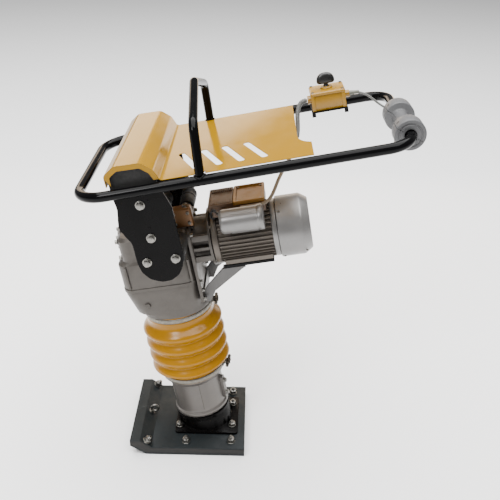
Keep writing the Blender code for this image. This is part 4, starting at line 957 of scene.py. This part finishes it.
fine_outline = chaikin(outline, 3)
narrow = outline[:11] + [(75, -209), (79, -182), (69, -140), (66, -105), (66, -57), (60, -27), (54, -11.3)]
for name, s, node in (("left_plate", -1, "side_plate_left"), ("right_plate", 1, "side_plate_right")):
    if s > 0:
        fine_outline = chaikin(narrow, 3)
    lo, hi2 = sorted((s * 196.0, s * 202.0))
    piece(name, prism(fine_outline, "Y", lo, hi2), PLATE_BLACK, "upper_unit", M_H, 0.8, 2, replaces=[node])
    bb = []
    j = 0
    for u, h in ((11, -38), (16, -125), (-9, -187), (61, -188)):
        j += 1
        bb.append(moved(heap(washer(11.5, 4, 0, 1.8), washer(9.0, 4, 1.8, 3.4), nut(15.5, 6.5, 3.4), turned([(0, 9), (4.4, 9), (4.2, 10.6), (0, 10.8)], n=20)), toward((0, s, 0), (u, s * 202.0, h), 0.35 * j)))
    piece(name + "_bolts", heap(*bb), ZINC, "upper_unit", M_H)
    bits = [moved(turned([(0, 0), (3, 0), (2.6, 1), (0, 1)], n=20), toward((0, s, 0), (u, s * 202, h))) for u, h in ((31, -30), (19, -98))]
    piece(name + "_pips", heap(*bits), PLATE_BLACK, "upper_unit", M_H)

# ------------------------------------------------------------------ handle
RY, FF, FR = 208.0, -136.0, 647.0
path = bent([(FF, -RY, 0), (FR, -RY, 0), (FR, RY, 0), (FF, RY, 0)], [72, 60, 60, 72], 16, closed=True)
piece("handle_tube", swept(path, 12.5, 28, closed=True), BLACK, "upper_unit", M_H, replaces=["handle_frame"], angle=60)
shelf = join(box(440, 535, 118, 203, 6.2, 9.2), box(440, 450, 118, 121, -4, 7), box(525, 535, 118, 121, -4, 7))
piece("switch_shelf", shelf, BLACK, "upper_unit", M_H, 0.6)
bail_pts = bent([(163, -205.5, 12.0), (170, -185, 121), (169, 0, 173), (170, 185, 121), (163, 205.5, 12.0)], [0, 30, 26, 30, 0], 12)
piece("bail_tube", swept(spread(bail_pts, 25), 11.0, 28), BLACK, "upper_unit", M_H, replaces=["lifting_bail"], angle=60)
for j, s in enumerate((-1, 1)):
    ring = []
    for k in range(48):
        a = 2 * math.pi * k / 48
        x, y = 163 + 12.0 * math.cos(a), s * 206.2 + 11.6 * math.sin(a)
        dy = y - s * RY
        z = math.sqrt(max(0.0, 12.5 ** 2 - min(12.4, abs(dy)) ** 2))
        ring.append((x, y, max(z, 4) + 0.6))
    piece(f"bail_weld_{j + 1}", swept(ring, [2.1 + 0.4 * math.sin(k * 1.9) for k in range(48)], 10, closed=True), BLACK, "upper_unit", M_H)
for j, s in enumerate((-1, 1)):
    tops = []
    for u0, u1 in ((-50, -10), (20, 58)):
        wp = [(u0 + (u1 - u0) * k / 24, s * 201.0, -11.6) for k in range(25)]
        tops.append(swept(wp, [1.8 + 0.4 * math.sin(k * 1.7) for k in range(25)], 8))
    piece(f"plate_weld_{j + 1}", heap(*tops), BLACK, "upper_unit", M_H)

# ------------------------------------------------------------------ cover
CY2, SH, TOPH = 202.0, 2.0, 14.8
hood = bent([(-55, 0, 17), (-55, 0, 46), (-26, 0, 65), (36, 0, 63), (61, 0, 42), (72, 0, TOPH), (424, 0, TOPH)], [0, 14, 20, 20, 16, 9, 0], 8)


def inward(path, t):
    out = []
    for i, p in enumerate(path):
        d = (path[min(i + 1, len(path) - 1)] - path[max(i - 1, 0)]).normalized()
        out.append(p + Vector((d.z, 0, -d.x)) * t)
    return out


inside = inward(hood, SH)
sheet = prism([(p.x, p.z) for p in hood] + [(p.x, p.z) for p in reversed(inside)], "Y", -CY2, CY2)
for u in (108, 163, 215, 269):
    a, b = Vector((u, -50, 0)), Vector((u + 43, -157, 0))
    d = (b - a).normalized()
    s = Vector((-d.y, d.x, 0)) * 8.0
    ends = []
    for centre, start in ((b, math.atan2(-s.y, -s.x)), (a, math.atan2(s.y, s.x))):
        for k in range(11):
            t = start + math.pi * k / 10
            ends.append((centre.x + 8.0 * math.cos(t), centre.y + 8.0 * math.sin(t)))
    sheet = cut(sheet, prism(ends, "Z", 5, 25))
notch = [(393, 230), (393, -58), (394, -72), (396.5, -83), (401, -93), (406, -101), (413, -108), (420, -113), (428, -116), (440, -117), (440, 230)]
sheet = cut(sheet, prism(notch, "Z", 0, 40), box(151, 176, -220, -192.5, 5, 30), box(151, 176, 192.5, 220, 5, 30))
sheet_ob = piece("cover_skin", sheet, YELLOW, "upper_unit", M_H, 0.5, 2, angle=30, replaces=["cover_sheet"])
arch = [(p.x, p.z) for p in inward(hood, 0.9) if p.x < 71 and p.z > 17]
inner_arch = [(p.x, p.y) for p in [Vector((v.x, v.z, 0)) for v in bent([(57, 0, 17.5), (49.8, 0, 34.8), (31.5, 0, 50.2), (-22, 0, 51.9), (-42, 0, 39), (-42, 0, 17.5)], [0, 9, 10, 10, 9, 0], 6)]]
for j, s in enumerate((-1, 1)):
    lo, hi2 = sorted((s * (CY2 - 0.25), s * (CY2 - SH)))
    piece(f"cover_lip_{j + 1}", prism(arch + inner_arch, "Y", lo, hi2), YELLOW, "upper_unit", M_H, 0.5, 2, angle=30)
inner_dark = [(p.x, p.z) for p in inward(hood, 3.0) if p.x < 66 and p.z > 16]
pan = [(-48, 16), (62, 16), (56, 32), (36, 55), (-24, 57), (-48, 42)]
# Matte black sheets just inside the hood arches: painted shade for the dark hollow under the hood.
for j, s in enumerate((-1, 1)):
    lo, hi2 = sorted((s * 192.0, s * 189.0))
    piece(f"hood_painted_shade_{j + 1}", prism([(-50, -10), (60, -10), (62, 18), (56, 34), (36, 56), (-24, 58), (-50, 42)], "Y", lo, hi2), BUFFER, "upper_unit", M_H)

# ------------------------------------------------------------------ switch
smooth_cad("switch_box", BOXYELLOW, 1.5, 3)
smooth_cad("switch_lid", BOXYELLOW, 1.2, 3)
sw = []
for u in (448.5, 526.5):
    for y in (127, 190):
        sw.append(moved(heap(turned([(0, 0), (4.2, 0), (4.2, 0.8), (3.4, 1.6), (0, 1.8)], n=28)), toward((0, 0, 1), (u, y, 58.4))))
piece("lid_screws", heap(*sw), DARKSTEEL, "upper_unit", M_H)
gn = []
for x0, d in ((434, -1), (545, 1)):
    gn.append(moved(nut(20 if d < 0 else 17.5, 8, -9), toward((d, 0, 0), (x0, 158.5, 33))))
piece("gland_nuts", heap(*gn), BOXYELLOW, "upper_unit", M_H)
piece("gland_sleeve", shifted(moved(turned([(3.0, 0), (6.5, 0), (6.2, 6), (5.0, 14), (4.2, 24), (3.8, 26), (3.0, 26)], n=32), Matrix.Rotation(math.pi / 2, 4, "Y")), 545.2, 158.5, 33), plastic("beige_sleeve", (0.10, 0.10, 0.078), 0.4), "upper_unit", M_H)
SWU, SWY, SWZ = 487.5, 158.5, 58.7
dial = turned([(0, 0.3), (16, 0.3), (16, 2.6), (14.8, 3.6), (9, 3.8), (8, 4.6), (0, 4.6)], n=48)
piece("knob_dial", shifted(dial, SWU, SWY, SWZ), BOXYELLOW, "knob", M_H, replaces=["switch_knob"])
secs = []
for z, hx, hy in ((11.6, 9.0, 6.0), (12.6, 20.5, 8.4), (16.0, 23.4, 9.4), (21, 23.6, 9.4), (27, 22.4, 8.8), (33, 19.0, 7.4), (37.6, 13.6, 5.4), (39.6, 8.4, 3.4), (40.2, 4, 1.6)):
    secs.append([((SWU + x) * MM, (SWY + y) * MM, (SWZ + z) * MM) for x, y in [(hx * math.copysign(abs(math.cos(t)) ** 0.7, math.cos(t)), hy * math.copysign(abs(math.sin(t)) ** 0.7, math.sin(t))) for t in [2 * math.pi * k / 40 for k in range(40)]]])
piece("knob_wing", heap(loft(secs), shifted(turned([(0, 4), (8.0, 4), (7.4, 6), (6.0, 9), (5.6, 11), (6.4, 13), (0, 13)], n=32), SWU, SWY, SWZ)), BLACKPLASTIC, "knob", M_H, angle=50)

# ------------------------------------------------------------------ roller
SLIT = math.radians(-37)
prof = [(14.5, 0.6), (16, 0), (24, 0), (25, 1.6), (27.6, 1.6), (28.6, 0), (33.6, 0), (36, 0.9), (37, 3.2), (37, 41.5), (36, 44), (33.6, 45), (24, 45.4), (21.0, 47), (19.2, 51), (18.3, 58), (17.8, 70), (17.6, 92.5),
        (17.8, 115), (18.3, 127), (19.2, 134), (21.0, 138), (24, 139.6), (33.6, 140), (36, 141), (37, 143.5), (37, 181.8), (36, 184.1), (33.6, 185), (28.6, 185), (27.6, 183.4), (25, 183.4), (24, 185), (16, 185), (14.5, 184.4)]
for name, start, node in (("roller_shell_a", SLIT, "roller_half_a"), ("roller_shell_b", SLIT + math.pi, "roller_half_b")):
    secs = []
    lap = 0.35 / 20
    for k in range(37):
        a = start + lap + (math.pi - 2 * lap) * k / 36
        secs.append([((647 + r * math.cos(a)) * MM, (-148 + t) * MM, r * math.sin(a) * MM) for r, t in prof])
    piece(name, loft(secs), ROLLER, "roller", M_H, angle=40, replaces=[node])
rs = []
for t in (22.5, 162.5):
    for a in (SLIT + math.radians(14), SLIT + math.pi - math.radians(14)):
        d = Vector((math.cos(a + 0.0), 0, math.sin(a)))
        rs.append(moved(turned([(0, 0), (4.0, 0), (4.0, 0.8), (3.2, 1.2), (2.2, 1.2), (1.8, 0.2), (0, 0.2)], n=24), toward(d, (647 + 36.2 * d.x, -148 + t, 36.2 * d.z))))
piece("roller_screws", heap(*rs), DARKSTEEL, "roller", M_H)

# ------------------------------------------------------------------ pieces inside
for nme in ("spring_tube", "lower_spring", "upper_spring", "guide_sleeve", "crank_gear", "crank_bearing", "connecting_rod", "wrist_pin", "piston", "motor_rotor", "front_motor_bearing", "rear_motor_bearing"):
    smooth_cad(nme, STEEL)
smooth_cad("cooling_fan", BLACKPLASTIC)

# ------------------------------------------------------------------ floor and light
floor_m = Mat("floor_matte", (0.93, 0.93, 0.93), 0.95, Specular_IOR_Level=0.0)
floor_m.tint(floor_m.ramp(floor_m.noise(3, 3), 0.3, 0.7, 0.0, 0.15), (0.91, 0.91, 0.91))
fl = bpy.data.meshes.new("floor")
fl.from_pydata([(-30, -30, -0.0005), (30, -30, -0.0005), (30, 30, -0.0005), (-30, 30, -0.0005)], [], [(0, 1, 2, 3)])
fl.materials.append(floor_m.done())
floor = bpy.data.objects.new("floor", fl)
SCENE.collection.objects.link(floor)

world = bpy.data.worlds.new("studio")
SCENE.world = world
world.use_nodes = True
bg = world.node_tree.nodes["Background"]
bg.inputs["Color"].default_value = (1, 1, 1, 1)
bg.inputs["Strength"].default_value = 0.34


def light(name, at, to, size, power, colour=(1, 1, 1), size_y=None):
    d = bpy.data.lights.new(name, "AREA")
    d.shape = "RECTANGLE"
    d.size = size
    d.size_y = size_y or size
    d.energy = power
    d.color = colour
    o = bpy.data.objects.new(name, d)
    SCENE.collection.objects.link(o)
    o.location = at
    o.rotation_euler = (Vector(to) - Vector(at)).to_track_quat("-Z", "Y").to_euler()
    return o


light("key", (-1.7, -2.3, 2.9), (0.1, 0, 0.5), 1.1, 75)
light("top", (0.0, 0.0, 5.5), (0.0, 0.0, 0.0), 7.0, 1300)
wall = light("warm_wall", (-0.25, 2.2, 1.255), (-0.25, 0.0, 1.255), 3.2, 26, (1.0, 0.80, 0.60), 0.62)
wall.rotation_euler.rotate_axis("Z", math.radians(14.7))
wall.visible_camera = False
